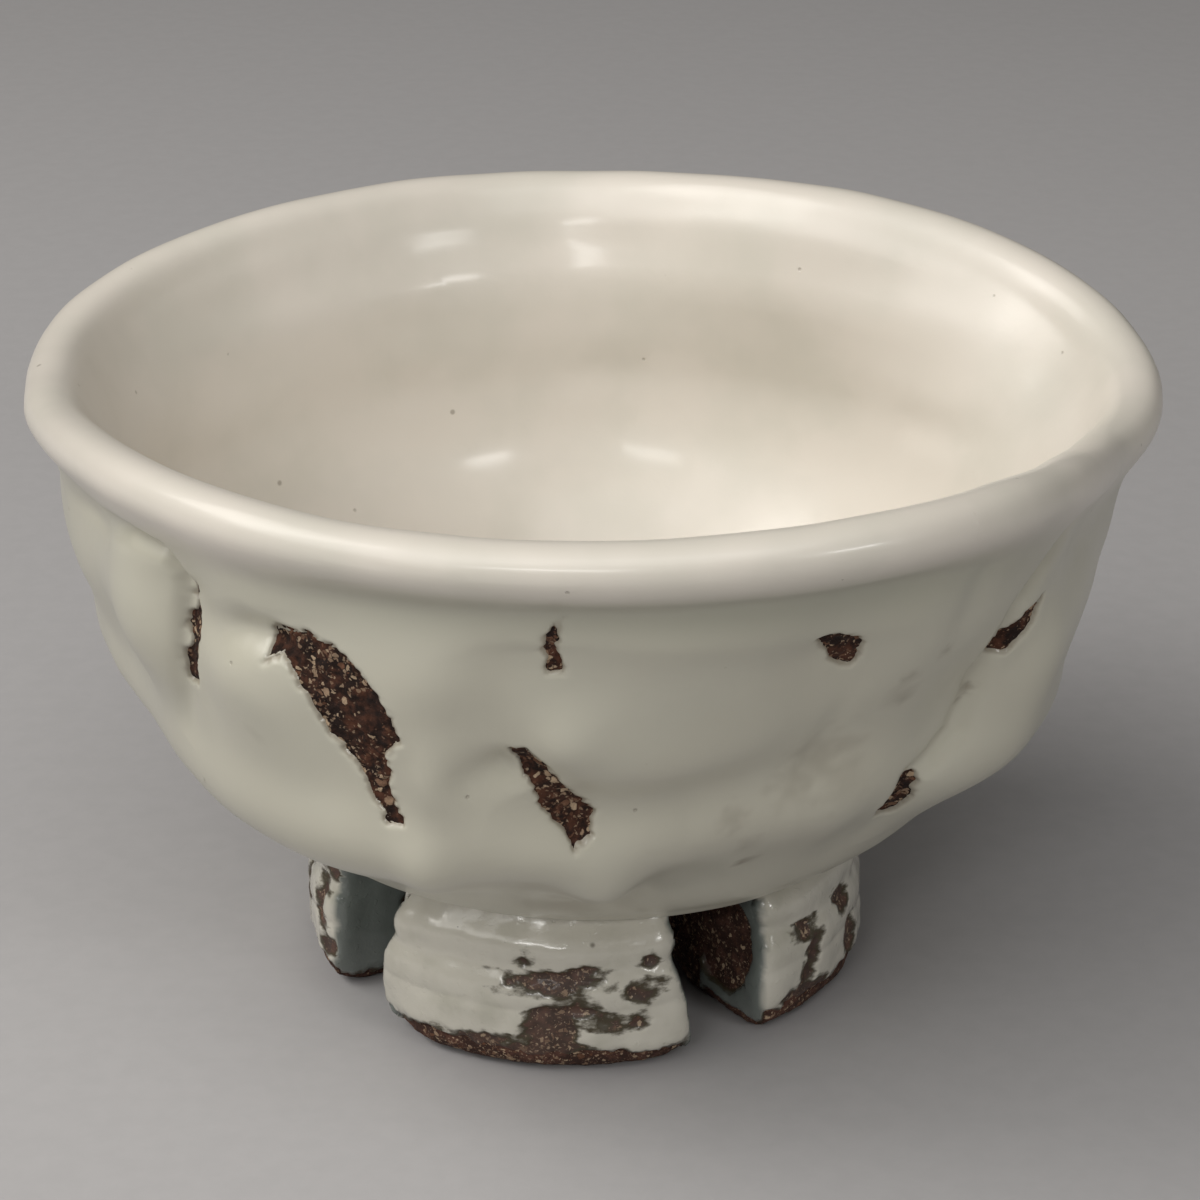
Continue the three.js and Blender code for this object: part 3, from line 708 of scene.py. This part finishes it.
def new_node(owner, kind, **settings):
    """A node in the owner's tree: the tree itself, or the one that a node or a socket is in."""
    node = owner.id_data.nodes.new(kind)
    for name, value in settings.items():
        setattr(node, name, value)
    return node


def put(source, socket):
    """Links an output to a socket, or sets the socket's own value."""
    if isinstance(source, bpy.types.NodeSocket):
        socket.id_data.links.new(source, socket)
    else:
        socket.default_value = source


def feed(node, **sources):
    """Feeds the node's inputs, which are named with _ for a space."""
    for name, source in sources.items():
        put(source, node.inputs[name.replace("_", " ")])


def noise_node(vector, size, detail=3.0, roughness=0.55, seed=0.0):
    """A noise texture with features of the given size in metres, or scaled by a socket."""
    node = new_node(vector, "ShaderNodeTexNoise", noise_dimensions="4D")
    scale = 1 / size if isinstance(size, float) else size
    feed(node, Vector=vector, W=seed, Detail=detail, Roughness=roughness, Scale=scale)
    return node.outputs["Fac"]


def cells_node(vector, scale, feature="F1"):
    node = new_node(vector, "ShaderNodeTexVoronoi", feature=feature)
    feed(node, Vector=vector, Scale=scale)
    return node


def ramp(value, low, high, bottom=0.0, top=1.0):
    """Maps a value from one range to another and stops at its ends, with a smooth step."""
    node = new_node(value, "ShaderNodeMapRange", interpolation_type="SMOOTHSTEP")
    feed(node, Value=value, From_Min=low, From_Max=high, To_Min=bottom, To_Max=top)
    return node.outputs["Result"]


def worked(kind, operation, *sources):
    """The result of a Math or a Vector Math node; its first source is a socket."""
    node = new_node(sources[0], kind, operation=operation)
    for source, socket in zip(sources, node.inputs):
        put(source, socket)
    return node.outputs[0]


def sums(operation, first, second):
    return worked("ShaderNodeMath", operation, first, second)


def times(first, second):
    return sums("MULTIPLY", first, second)


def plus(first, second):
    return sums("ADD", first, second)


def blended(factor, first, second):
    """Mixes two colours."""
    node = new_node(factor, "ShaderNodeMix", data_type="RGBA")
    sockets = {socket.identifier: socket for socket in node.inputs}
    for name, source in (("Factor_Float", factor), ("A_Color", first), ("B_Color", second)):
        put(source, sockets[name])
    return next(socket for socket in node.outputs if socket.identifier == "Result_Color")


def layered(colour, *layers):
    """Lays colours over a colour, each with its mask."""
    for mask, layer in layers:
        colour = blended(mask, colour, layer)
    return colour


def new_group(name, inputs, outputs):
    """An empty shader node group with named inputs and outputs."""
    tree = bpy.data.node_groups.new(name, "ShaderNodeTree")
    for side, sockets in (("INPUT", inputs), ("OUTPUT", outputs)):
        for label, kind in sockets.items():
            tree.interface.new_socket(label, in_out=side, socket_type="NodeSocket" + kind)
    return tree, new_node(tree, "NodeGroupInput").outputs, new_node(tree, "NodeGroupOutput")


def placed_group(vector, group, **values):
    node = new_node(vector, "ShaderNodeGroup", node_tree=group)
    feed(node, Vector=vector, **values)
    return node.outputs


def chances(cells):
    """Chance values for each cell, as the channels of its random colour."""
    split = new_node(cells, "ShaderNodeSeparateColor")
    feed(split, Color=cells.outputs["Color"])
    return split.outputs


def shards(vector, scale, share):
    """Angular grains: where they lie, and a chance value for each."""
    luck = chances(cells_node(vector, scale))
    walls = cells_node(vector, scale, "DISTANCE_TO_EDGE")
    inside = ramp(walls.outputs["Distance"], 0.02, 0.12)
    return times(inside, sums("LESS_THAN", luck["Red"], share)), luck["Green"]


@functools.cache
def clay_group():
    """Coarse clay: a dark body with red and brown parts, angular grains, pits and their height."""
    numbers = dict.fromkeys(("Grain Scale", "Pale Share"), "Float")
    colours = dict.fromkeys(("Dark", "Warm", "Pale", "Rust"), "Color")
    inputs = {"Vector": "Vector"} | numbers | colours
    tree, given, out = new_group("coarse_clay", inputs, {"Color": "Color", "Height": "Float"})
    vector = given["Vector"]
    body = noise_node(vector, 0.0021, 4.0, 0.62)
    colour = blended(ramp(body, 0.42, 0.66), given["Dark"], given["Warm"])
    warp = new_node(tree, "ShaderNodeTexNoise")
    feed(warp, Vector=vector, Scale=1400.0, Detail=2.0)
    bend = (0.0006, 0.0006, 0.0006)
    bent = worked("ShaderNodeVectorMath", "MULTIPLY_ADD", warp.outputs["Color"], bend, vector)
    drift = ramp(noise_node(vector, 0.0075, 2.0, 0.5, 6.0), 0.36, 0.62, 0.25, 1.25)
    for finer, scarcer, strength in ((3.1, 0.8, 0.45), (1.7, 0.9, 0.7), (0.9, 0.6, 0.9)):
        scale = times(given["Grain Scale"], finer)
        share = times(times(given["Pale Share"], scarcer), drift)
        large, tint = shards(bent, scale, share)
        stone = blended(ramp(tint, 0.1, 0.9), given["Rust"], given["Pale"])
        colour = blended(times(large, strength), colour, stone)
    fine = noise_node(vector, 0.00045, 3.0, 0.6, 2.0)
    height = plus(times(fine, 0.00022), times(large, 0.00014))
    height = plus(height, times(body, 0.00035))
    feed(out, Color=colour, Height=height)
    return tree


@functools.cache
def glaze_group():
    """Glaze: soft clouds of tone, iron specks, pinholes and the ripple of its surface."""
    numbers = dict.fromkeys(("Cloud Scale", "Ripple Height", "Speck Share"), "Float")
    outputs = dict.fromkeys(("Clouds", "Specks", "Pinholes", "Height"), "Float")
    tree, given, out = new_group("melted_glaze", {"Vector": "Vector"} | numbers, outputs)
    vector = given["Vector"]
    clouds = noise_node(vector, given["Cloud Scale"], 3.0, 0.5)
    specks = cells_node(vector, 330.0)
    luck = chances(specks)
    size = ramp(luck["Green"], 0.0, 1.0, 0.05, 0.16)
    spot = ramp(specks.outputs["Distance"], size, times(size, 0.4))
    speck = times(spot, sums("GREATER_THAN", luck["Red"], given["Speck Share"]))
    pores = cells_node(vector, 260.0)
    lucky = sums("GREATER_THAN", chances(pores)["Blue"], 0.86)
    pore = times(ramp(pores.outputs["Distance"], 0.075, 0.03), lucky)
    ripple = noise_node(vector, 0.0042, 2.0, 0.45, 3.0)
    fine = noise_node(vector, 0.0011, 2.0, 0.5, 4.0)
    height = times(plus(ripple, times(fine, 0.3)), given["Ripple Height"])
    height = sums("SUBTRACT", height, times(pore, 0.00008))
    feed(out, Clouds=clouds, Specks=speck, Pinholes=pore, Height=height)
    return tree


def new_material(name):
    material = bpy.data.materials.new(name)
    material.use_nodes = True
    shader = material.node_tree.nodes["Principled BSDF"]
    return material, shader, new_node(shader, "ShaderNodeTexCoord").outputs["Object"]


def painted(shader, name):
    """The value that the mesh keeps at each corner under the given name."""
    return new_node(shader, "ShaderNodeAttribute", attribute_name=name).outputs["Fac"]


def bumped(shader, height):
    bump = new_node(shader, "ShaderNodeBump")
    feed(bump, Height=height, Distance=1.0, Strength=1.0)
    feed(shader, Normal=bump.outputs["Normal"])


def placed_clay(vector, grain_size, share, dark, warm):
    looks = bpy.context.scene.tea_bowl_clay
    grains = {"Grain_Scale": 1 / grain_size, "Pale_Share": share}
    colours = {"Dark": dark, "Warm": warm, "Pale": looks.grain_colour, "Rust": looks.rust_colour}
    return placed_group(vector, clay_group(), **grains, **colours)


def foot_clay(vector):
    """The foot's clay, finer and redder from the fire."""
    looks = bpy.context.scene.tea_bowl_clay
    colours = (looks.foot_dark_colour, looks.foot_colour)
    return placed_clay(vector, looks.foot_grain_size, FOOT_GRAIN_SHARE, *colours)


@functools.cache
def clay_material():
    """Dark stoneware, redder where the fire reached it on the foot."""
    looks = bpy.context.scene.tea_bowl_clay
    material, shader, vector = new_material("coarse_dark_clay")
    colours = (looks.body_colour, looks.warm_colour)
    clay = placed_clay(vector, looks.grain_size, looks.grain_share, *colours)
    foot = foot_clay(vector)
    colour = blended(painted(shader, "foot"), clay["Color"], foot["Color"])
    dull = ramp(noise_node(vector, 0.002), 0.3, 0.7, 0.7, 0.95)
    feed(shader, Base_Color=colour, Roughness=dull, Specular_IOR_Level=0.2)
    bumped(shader, clay["Height"])
    return material


@functools.cache
def white_glaze_material():
    """Thick white glaze, creamier inside and on the lip; outside darker and greener as painted shade,
    with a band of painted shade under the lip and stains where it lies thin.
    """
    looks = bpy.context.scene.tea_bowl_glaze
    material, shader, vector = new_material("thick_white_glaze")
    glaze = placed_group(
        vector,
        glaze_group(),
        Cloud_Scale=1 / looks.cloud_size,
        Ripple_Height=looks.ripple_height,
        Speck_Share=1 - looks.speck_share,
    )
    clouds = ramp(glaze["Clouds"], 0.38, 0.68, 0.0, 0.3)
    colour = layered(
        # The outside takes a darker, greener colour as painted shade; inside and on the lip the glaze
        # shows its own colour
        looks.shaded_outside_colour,
        (painted(shader, "inside"), looks.inside_colour),
        (clouds, looks.cloud_colour),
        # Painted shade: the darker band under the lip
        (painted(shader, "under_lip_shade"), looks.under_lip_shade_colour),
        (painted(shader, "stain"), looks.stain_colour),
        (times(painted(shader, "thin"), 0.6), looks.thin_colour),
        (times(glaze["Specks"], 0.6), looks.stain_colour),
        (times(glaze["Pinholes"], 0.35), looks.stain_colour),
    )
    satin = ramp(glaze["Clouds"], 0.3, 0.7, looks.roughness, looks.roughness + 0.1)
    feed(shader, Base_Color=colour, Roughness=satin, IOR=1.5)
    feed(shader, Coat_Weight=looks.coat, Coat_Roughness=0.16)
    bumped(shader, glaze["Height"])
    return material


@functools.cache
def foot_glaze_material():
    """Thinner glaze on the foot: glassy, blue-grey on the cuts, olive and brown where it runs thin."""
    looks = bpy.context.scene.tea_bowl_foot
    material, shader, vector = new_material("thin_foot_glaze")
    glaze = placed_group(
        vector, glaze_group(), Cloud_Scale=190.0, Ripple_Height=0.00016, Speck_Share=0.88
    )
    clay = foot_clay(vector)
    streaky = worked("ShaderNodeVectorMath", "MULTIPLY", vector, (1, 1, 2.2))
    mottle = noise_node(streaky, 0.0014, 4.0, 0.62, 5.0)
    thin = plus(painted(shader, "thin"), times(sums("SUBTRACT", mottle, 0.5), 1.3))
    through = plus(thin, times(glaze["Clouds"], 0.4))
    colour = layered(
        looks.glaze_colour,
        (ramp(glaze["Clouds"], 0.45, 0.75, 0.0, 0.5), looks.cloud_colour),
        (painted(shader, "cut"), looks.cut_colour),
        (ramp(through, 0.42, 0.95), looks.thin_colour),
        (ramp(thin, 0.8, 1.0, 0.0, 0.85), clay["Color"]),
        (times(glaze["Specks"], 0.75), looks.thin_colour),
    )
    feed(shader, Base_Color=colour, Roughness=ramp(thin, 0.4, 1.0, 0.22, 0.6), IOR=1.52)
    feed(shader, Coat_Weight=ramp(thin, 0.4, 0.9, 0.5, 0.1), Coat_Roughness=0.1)
    bumped(shader, plus(glaze["Height"], times(clay["Height"], 0.15)))
    return material


@functools.cache
def floor_material():
    looks = bpy.context.scene.tea_bowl_stage
    material, shader, vector = new_material("pale_floor")
    paper = noise_node(vector, 0.004)
    tone = blended(ramp(paper, 0.3, 0.7), looks.floor_colour, looks.floor_shade)
    feed(shader, Base_Color=tone, Roughness=ramp(paper, 0.3, 0.7, 0.75, 0.85))
    return material


# Settings


def swatch(name, description, red, green, blue):
    return bpy.props.FloatVectorProperty(
        name=name,
        description=description,
        subtype="COLOR",
        size=4,
        min=0,
        max=1,
        default=(red, green, blue, 1),
    )


def length(name, description, default):
    return bpy.props.FloatProperty(
        name=name, description=description, unit="LENGTH", min=0, precision=5, default=default
    )


def portion(name, description, default):
    return bpy.props.FloatProperty(name=name, description=description, min=0, max=1, default=default)


def angle(name, description, degrees):
    return bpy.props.FloatProperty(
        name=name, description=description, subtype="ANGLE", default=math.radians(degrees)
    )


class ClaySettings(bpy.types.PropertyGroup):
    body_colour: swatch("Body", "Dark clay in the windows", 0.017, 0.009, 0.007)
    warm_colour: swatch("Warm parts", "Red-brown parts of the clay", 0.085, 0.034, 0.02)
    grain_colour: swatch("Grains", "Pale grains in the clay", 0.50, 0.37, 0.25)
    rust_colour: swatch("Rusty grains", "Orange-brown grains in the clay", 0.14, 0.065, 0.038)
    foot_colour: swatch("Foot", "Clay of the foot, redder from the fire", 0.115, 0.055, 0.040)
    foot_dark_colour: swatch("Foot, dark", "Darker parts of the foot's clay", 0.05, 0.026, 0.020)
    grain_size: length("Grain size", "Distance between grains", 0.8 * MM)
    foot_grain_size: length("Foot grain size", "Distance between grains in the foot", 0.5 * MM)
    grain_share: portion("Grain share", "Share of the clay that is pale grain", 0.2)
    grain_rise: length("Grain rise", "How far grains and pits stand out", 0.2 * MM)
    window_lift: length("Window lift", "How far the clay swells up in a window", 1.25 * MM)


class GlazeSettings(bpy.types.PropertyGroup):
    depth: length("Depth", "Thickness of the glaze over the clay", GLAZE_DEPTH)
    edge_round: length("Edge", "Width of the rounded edge round a window", 0.8 * MM)
    bead: length("Bead", "Rise of the rolled edge round a window", 0.04 * MM)
    # Painted shade: the same glaze as inside, painted darker and greener outside for the shade it lies
    # in
    shaded_outside_colour: swatch("Outside", "Glaze outside", 0.51, 0.49, 0.405)
    inside_colour: swatch("Inside", "Glaze inside", 0.70, 0.65, 0.58)
    cloud_colour: swatch("Clouds", "Soft darker clouds in the glaze", 0.50, 0.495, 0.42)
    # Painted shade: the darker grey-green band painted under the lip
    under_lip_shade_colour: swatch("Lip shade", "Thick grey-green glaze under the lip", 0.34, 0.34, 0.27)
    thin_colour: swatch("Thin edge", "Glaze that lies thin round a window", 0.20, 0.155, 0.105)
    stain_colour: swatch("Stain", "Specks and stains under the glaze", 0.20, 0.165, 0.12)
    cloud_size: length("Cloud size", "Size of the clouds", 16 * MM)
    ripple_height: length("Ripple", "Height of the ripple of the surface", 0.05 * MM)
    speck_share: portion("Specks", "Share of places with an iron speck", 0.02)
    roughness: portion("Roughness", "Roughness of the satin glaze", 0.36)
    coat: portion("Gloss", "Weight of the glassy top", 0.35)


class FootSettings(bpy.types.PropertyGroup):
    voxel: length("Mesh", "Size of the mesh on the foot", 0.4 * MM)
    glaze_depth: length("Glaze depth", "Thickness of the foot's glaze", 1.0 * MM)
    glaze_line: length("Glaze line", "Height at which the glaze stops outside", 3.2 * MM)
    cut_line: length("Cut line", "Height at which the glaze stops on the cut faces", 1.5 * MM)
    bare_radius: length("Bare middle", "Radius round the axis that stays bare", 19.4 * MM)
    glaze_colour: swatch("Glaze", "Glaze on the foot", 0.60, 0.575, 0.50)
    cloud_colour: swatch("Clouds", "Greyer parts of the glaze", 0.40, 0.39, 0.31)
    cut_colour: swatch("Cuts", "Blue-grey glaze on the cut faces", 0.17, 0.19, 0.175)
    thin_colour: swatch("Thin", "Olive brown where the glaze runs thin", 0.055, 0.042, 0.02)


class StageSettings(bpy.types.PropertyGroup):
    floor_colour: swatch("Floor", "Plain pale floor", 0.43, 0.42, 0.425)
    floor_shade: swatch("Floor, shade", "Second tone of the floor", 0.415, 0.405, 0.41)
    camera_place: bpy.props.FloatVectorProperty(
        name="Camera",
        description="Place of the camera",
        subtype="TRANSLATION",
        unit="LENGTH",
        default=CAMERA_PLACE,
    )
    camera_tilt: angle("Tilt", "Angle that the camera looks down", CAMERA_TILT)
    camera_view: angle("View", "Width of the view", CAMERA_VIEW)


# Pieces


class TEABOWL_OT_clay_bowl(bpy.types.Operator):
    """Make the clay bowl, with coarse grain where the windows bare it"""

    bl_idname = "teabowl.clay_bowl"
    bl_label = "Clay Bowl"

    def execute(self, context):
        looks = context.scene.tea_bowl_clay
        places, normals, faces, _, window, neck, marks = bowl_form()
        under = ease(-neck / (1 * MM))
        grain = noises(places, (1, 0.7, 9), (0.75, 1.8, 10))
        bare = ease((GRAIN_REACH - window) / GRAIN_FADE)
        rise = marks + window_lift(window)
        rise += (bare * looks.grain_rise + under * 0.15 * MM) * grain
        mesh = bpy.data.meshes.new("clay")
        mesh.from_pydata((places + normals * rise[:, None]).tolist(), [], faces)
        paint(mesh, "foot", under)
        new_piece("clay_bowl_pressed", mesh, clay_material(), ["clay_bowl"])
        return {"FINISHED"}


class TEABOWL_OT_glaze_coat(bpy.types.Operator):
    """Lay the thick glaze over the bowl, crept back from the windows"""

    bl_idname = "teabowl.glaze_coat"
    bl_label = "Glaze Coat"

    def execute(self, context):
        looks = context.scene.tea_bowl_glaze
        places, normals, faces, cut, window, neck, marks = bowl_form()
        edge = np.minimum(window, neck)
        bead = looks.bead * bell((cut - looks.edge_round) / EDGE_NEAR)
        depth = looks.depth + bead + 0.1 * MM * noise(places, 11, 13)
        lift = window_lift(window)
        cover = lift + (depth - lift) * rolled(np.clip(edge / looks.edge_round, 0, 1))
        cover += np.clip(edge * EDGE_FALL, -EDGE_TAIL, 0)
        outer = places + normals * (marks + cover)[:, None]
        inner = places + normals * (marks - SHEET_SINK)[:, None]
        stain = np.zeros(len(edge))
        for azimuth, height, radius, strength in STAINS:
            spot = spot_distance(places, azimuth, height, radius, radius)
            patchy = ease((1.4 - spot + 0.6 * noise(places, 0.4 + 0.3 * radius, 14)) / 1.5)
            stain = np.maximum(stain, strength * patchy)
        outside = outward(places, normals)
        # Painted shade: below the lip the outside takes the darker outside colour; on the lip and
        # inside the glaze keeps its own colour
        unshaded_lip = 1 - ease((below_lip(places) - UNSHADED_LIP_START) / UNSHADED_LIP_FADE)
        values = {
            "thin": ease(1 - window / (0.5 * MM)),
            "stain": stain * (outside > 0),
            "inside": np.maximum(ease((0.1 - outside) / 0.6), unshaded_lip),
            # Painted shade: a darker band along the hollow under the lip, outside only
            "under_lip_shade": line_hollow(places, UNDER_LIP_SHADE)[1] / MM * ease(outside / 0.3),
        }
        mesh = sheet_mesh(outer, inner, faces, edge > -EDGE_TAIL, values, 0.1)
        new_piece("glaze_coat_crept", mesh, white_glaze_material(), ["glaze_coat"])
        return {"FINISHED"}


@functools.cache
def lobe_mesh(side):
    """The clay of one lobe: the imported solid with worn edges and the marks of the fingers."""
    looks = bpy.context.scene.tea_bowl_foot
    holder = added("lobe", as_mesh(welded("foot_lobe_" + side)))
    remesh = holder.modifiers.new("even", "REMESH")
    remesh.mode = "VOXEL"
    remesh.voxel_size = looks.voxel
    soften = holder.modifiers.new("soften", "SMOOTH")
    soften.factor = 0.5
    soften.iterations = SOFTEN_PASSES
    mesh = applied(holder)
    places, normals = corner_places(mesh), corner_normals(mesh)
    height = places[:, 2]
    outside = ease((outward(places, normals) - 0.3) / 0.4)
    wander = height + 0.6 * MM * noise(places, 9, 20)
    bands = sum(
        rise * MM * bell((wander - level * MM) / (half * MM)) for level, half, rise in FOOT_BANDS
    )
    lumps = noises(places, (0.22, 6, 21), (0.1, 2.5, 22)) * MM
    rise = (outside * bands + lumps) * ease((height - 0.2 * MM) / (1.5 * MM))
    for *spot, depth in WORN_CORNERS:
        rise -= depth * MM * mound(places, *spot)
    places += normals * rise[:, None]
    into_bowl = ease((places[:, 2] - JOIN_START) / JOIN_FADE) * JOIN_RISE
    places[:, 2] = np.maximum(places[:, 2] + into_bowl, 0)
    move_corners(mesh, places)
    return mesh


def foot_cover(places, normals):
    """How far inside the edge of the foot's glaze places lie, and how far from where it wore thin."""
    looks = bpy.context.scene.tea_bowl_foot
    azimuth, radius, height = polar(places)
    facing = ease((outward(places, normals) - 0.35) / 0.3)
    line = looks.cut_line + facing * (looks.glaze_line - looks.cut_line)
    line += 0.9 * MM * noise(places * (1, 1, 0), 7, 23)
    edge = np.minimum(height - line, (radius - looks.bare_radius) * 0.7)
    worn = np.full(len(places), FAR)
    for spot in BREAKS:
        gap = spot_distance(places, *spot) - 1
        worn = np.minimum(worn, gap * min(spot[2:]) * MM + (1 - facing) * OTHER_FACE)
    for at, middle, level, half_radius, half_height in BARE_CUTS:
        across = (radius - middle * MM) / (half_radius * MM)
        gap = np.hypot(across, (height - level * MM) / (half_height * MM)) - 1
        away = np.abs(turned(azimuth, at)) > CUT_TURN
        edge = np.minimum(edge, gap * half_height * MM + (facing + away) * OTHER_FACE)
    streaks = 0.45 * MM * noise(places * (1, 1, 1.8), 2.6, 24)
    streaks += 0.35 * MM * noise(places * (1, 1, 1.5), 1.1, 25)
    return edge + streaks, worn + 1.3 * streaks


class TEABOWL_OT_foot_lobes(bpy.types.Operator):
    """Make the four clay lobes of the split foot"""

    bl_idname = "teabowl.foot_lobes"
    bl_label = "Foot Lobes"

    def execute(self, context):
        looks = context.scene.tea_bowl_clay
        for side in SIDES:
            mesh = lobe_mesh(side).copy()
            places, normals = corner_places(mesh), corner_normals(mesh)
            edge, _ = foot_cover(places, normals)
            bare = ease(-edge / (0.8 * MM)) * ease(places[:, 2] / (0.5 * MM))
            grain = noises(places, (1, 1, 26), (0.6, 2.4, 27))
            places += normals * (bare * looks.grain_rise * 0.6 * grain)[:, None]
            places[:, 2] = np.maximum(places[:, 2], 0)
            move_corners(mesh, places)
            paint(mesh, "foot", np.ones(len(places)))
            name = "foot_lobe_worn_" + side
            new_piece(name, mesh, clay_material(), ["foot_lobe_" + side])
        return {"FINISHED"}


class TEABOWL_OT_foot_glaze(bpy.types.Operator):
    """Lay the thinner glaze on the lobes, broken over the clay"""

    bl_idname = "teabowl.foot_glaze"
    bl_label = "Foot Glaze"

    def execute(self, context):
        looks = context.scene.tea_bowl_foot
        for side in SIDES:
            mesh = lobe_mesh(side)
            places, normals = corner_places(mesh), corner_normals(mesh)
            edge, worn = foot_cover(places, normals)
            runs = 0.14 * MM * noise(places * (1, 1, 0.5), 3.5, 28)
            cover = (looks.glaze_depth + runs) * rolled(np.clip(edge / FOOT_EDGE_ROUND, 0, 1))
            cover *= 1 - WORN_THIN * ease((0.8 * MM - worn) / (1.6 * MM))
            cover += np.clip(edge, -FOOT_EDGE_TAIL, 0)
            outer = places + normals * cover[:, None]
            inner = places - normals * FOOT_SHEET_SINK
            thin = np.maximum(1 - edge / (0.9 * MM), 0.85 - worn / (1.3 * MM))
            patchy = 0.34 * noise(places * (1, 1, 2.2), 3, 29)
            values = {
                "thin": np.clip(thin + patchy, 0, 1.2),
                "cut": ease((0.75 - outward(places, normals)) / 0.35) * (normals[:, 2] < 0.6),
            }
            faces = face_corners(mesh)
            sheet = sheet_mesh(outer, inner, faces, edge > -FOOT_EDGE_TAIL, values, 0.25)
            name = "foot_glaze_run_" + side
            new_piece(name, sheet, foot_glaze_material(), ["foot_glaze_" + side])
        return {"FINISHED"}


# The lamps: azimuth, angle of rise and distance from the bowl, width, height, watts and tint
DAYLIGHT = (1.0, 0.99, 0.97)
LAMPS = (
    ("key", -178, 47, 1.1, 0.7, 0.6, 5.5, (1.0, 0.97, 0.92)),
    ("window", -146, 40, 1.2, 0.9, 0.7, 4.5, (1.0, 0.99, 0.96)),
    ("front", -90, 58, 1.2, 0.9, 0.7, 3.6, DAYLIGHT),
    ("ceiling", -100, 80, 1.2, 1.0, 0.8, 1.2, DAYLIGHT),
    ("front_right", -49, 24, 0.9, 0.20, 0.07, 1.1, DAYLIGHT),
    ("front_left", -107, 26, 0.9, 0.26, 0.08, 1.0, DAYLIGHT),
)
LAMP_AIM = Vector((0, 0, 0.04))
WORLD_COLOUR = (0.84, 0.82, 0.78, 1)
WORLD_STRENGTH = 0.1
FLOOR_HALF = 4.0
FLOOR_SQUARES = 8
NEAREST_SEEN = 0.01


class TEABOWL_OT_studio(bpy.types.Operator):
    """Set the plain pale floor, the soft lamps and the camera"""

    bl_idname = "teabowl.studio"
    bl_label = "Studio"

    def execute(self, context):
        looks = context.scene.tea_bowl_stage
        bm = bmesh.new()
        bmesh.ops.create_grid(bm, x_segments=FLOOR_SQUARES, y_segments=FLOOR_SQUARES, size=FLOOR_HALF)
        floor = added("floor", as_mesh(bm))
        floor.data.materials.append(floor_material())
        for name, azimuth, rise, distance, width, height, power, tint in LAMPS:
            lamp = bpy.data.lights.new(name, "AREA")
            lamp.shape = "RECTANGLE"
            lamp.size, lamp.size_y = width, height
            lamp.energy = power
            lamp.color = tint
            holder = added(name, lamp)
            turn, lift = math.radians(azimuth), math.radians(rise)
            level = math.cos(lift)
            away = Vector((math.cos(turn) * level, math.sin(turn) * level, math.sin(lift)))
            holder.location = LAMP_AIM + away * distance
            holder.rotation_euler = away.to_track_quat("Z", "Y").to_euler()
        world = bpy.data.worlds.new("soft room")
        world.use_nodes = True
        background = world.node_tree.nodes["Background"]
        feed(background, Color=WORLD_COLOUR, Strength=WORLD_STRENGTH)
        context.scene.world = world
        context.scene.view_settings.view_transform = "Standard"
        camera = bpy.data.cameras.new("camera")
        camera.sensor_fit = "HORIZONTAL"
        camera.angle = looks.camera_view
        camera.clip_start = NEAREST_SEEN
        stand = added("camera", camera)
        stand.location = looks.camera_place
        stand.rotation_euler = (math.pi / 2 - looks.camera_tilt, 0, 0)
        context.scene.camera = stand
        return {"FINISHED"}


class TEABOWL_PT_panel(bpy.types.Panel):
    """Lists the pieces of the tea bowl in the sidebar"""

    bl_idname = "TEABOWL_PT_panel"
    bl_label = "Tea Bowl"
    bl_space_type = "VIEW_3D"
    bl_region_type = "UI"
    bl_category = "Tea Bowl"

    def draw(self, context):
        for operator in OPERATORS:
            self.layout.operator(operator.bl_idname)
        for name in SETTINGS:
            box = self.layout.box()
            settings = getattr(context.scene, name)
            for key in settings.__annotations__:
                box.prop(settings, key)


SETTINGS = {
    "tea_bowl_clay": ClaySettings,
    "tea_bowl_glaze": GlazeSettings,
    "tea_bowl_foot": FootSettings,
    "tea_bowl_stage": StageSettings,
}
OPERATORS = (
    TEABOWL_OT_studio,
    TEABOWL_OT_clay_bowl,
    TEABOWL_OT_glaze_coat,
    TEABOWL_OT_foot_lobes,
    TEABOWL_OT_foot_glaze,
)


def register():
    for name, group in SETTINGS.items():
        bpy.utils.register_class(group)
        setattr(bpy.types.Scene, name, bpy.props.PointerProperty(type=group))
    for operator in OPERATORS:
        bpy.utils.register_class(operator)
    bpy.utils.register_class(TEABOWL_PT_panel)


def unregister():
    bpy.utils.unregister_class(TEABOWL_PT_panel)
    for operator in reversed(OPERATORS):
        bpy.utils.unregister_class(operator)
    for name, group in reversed(SETTINGS.items()):
        delattr(bpy.types.Scene, name)
        bpy.utils.unregister_class(group)


def main():
    """Makes the whole scene."""
    register()
    bpy.ops.teabowl.studio()
    bpy.ops.teabowl.clay_bowl()
    bpy.ops.teabowl.glaze_coat()
    bpy.ops.teabowl.foot_lobes()
    bpy.ops.teabowl.foot_glaze()


if __name__ == "__main__":
    main()
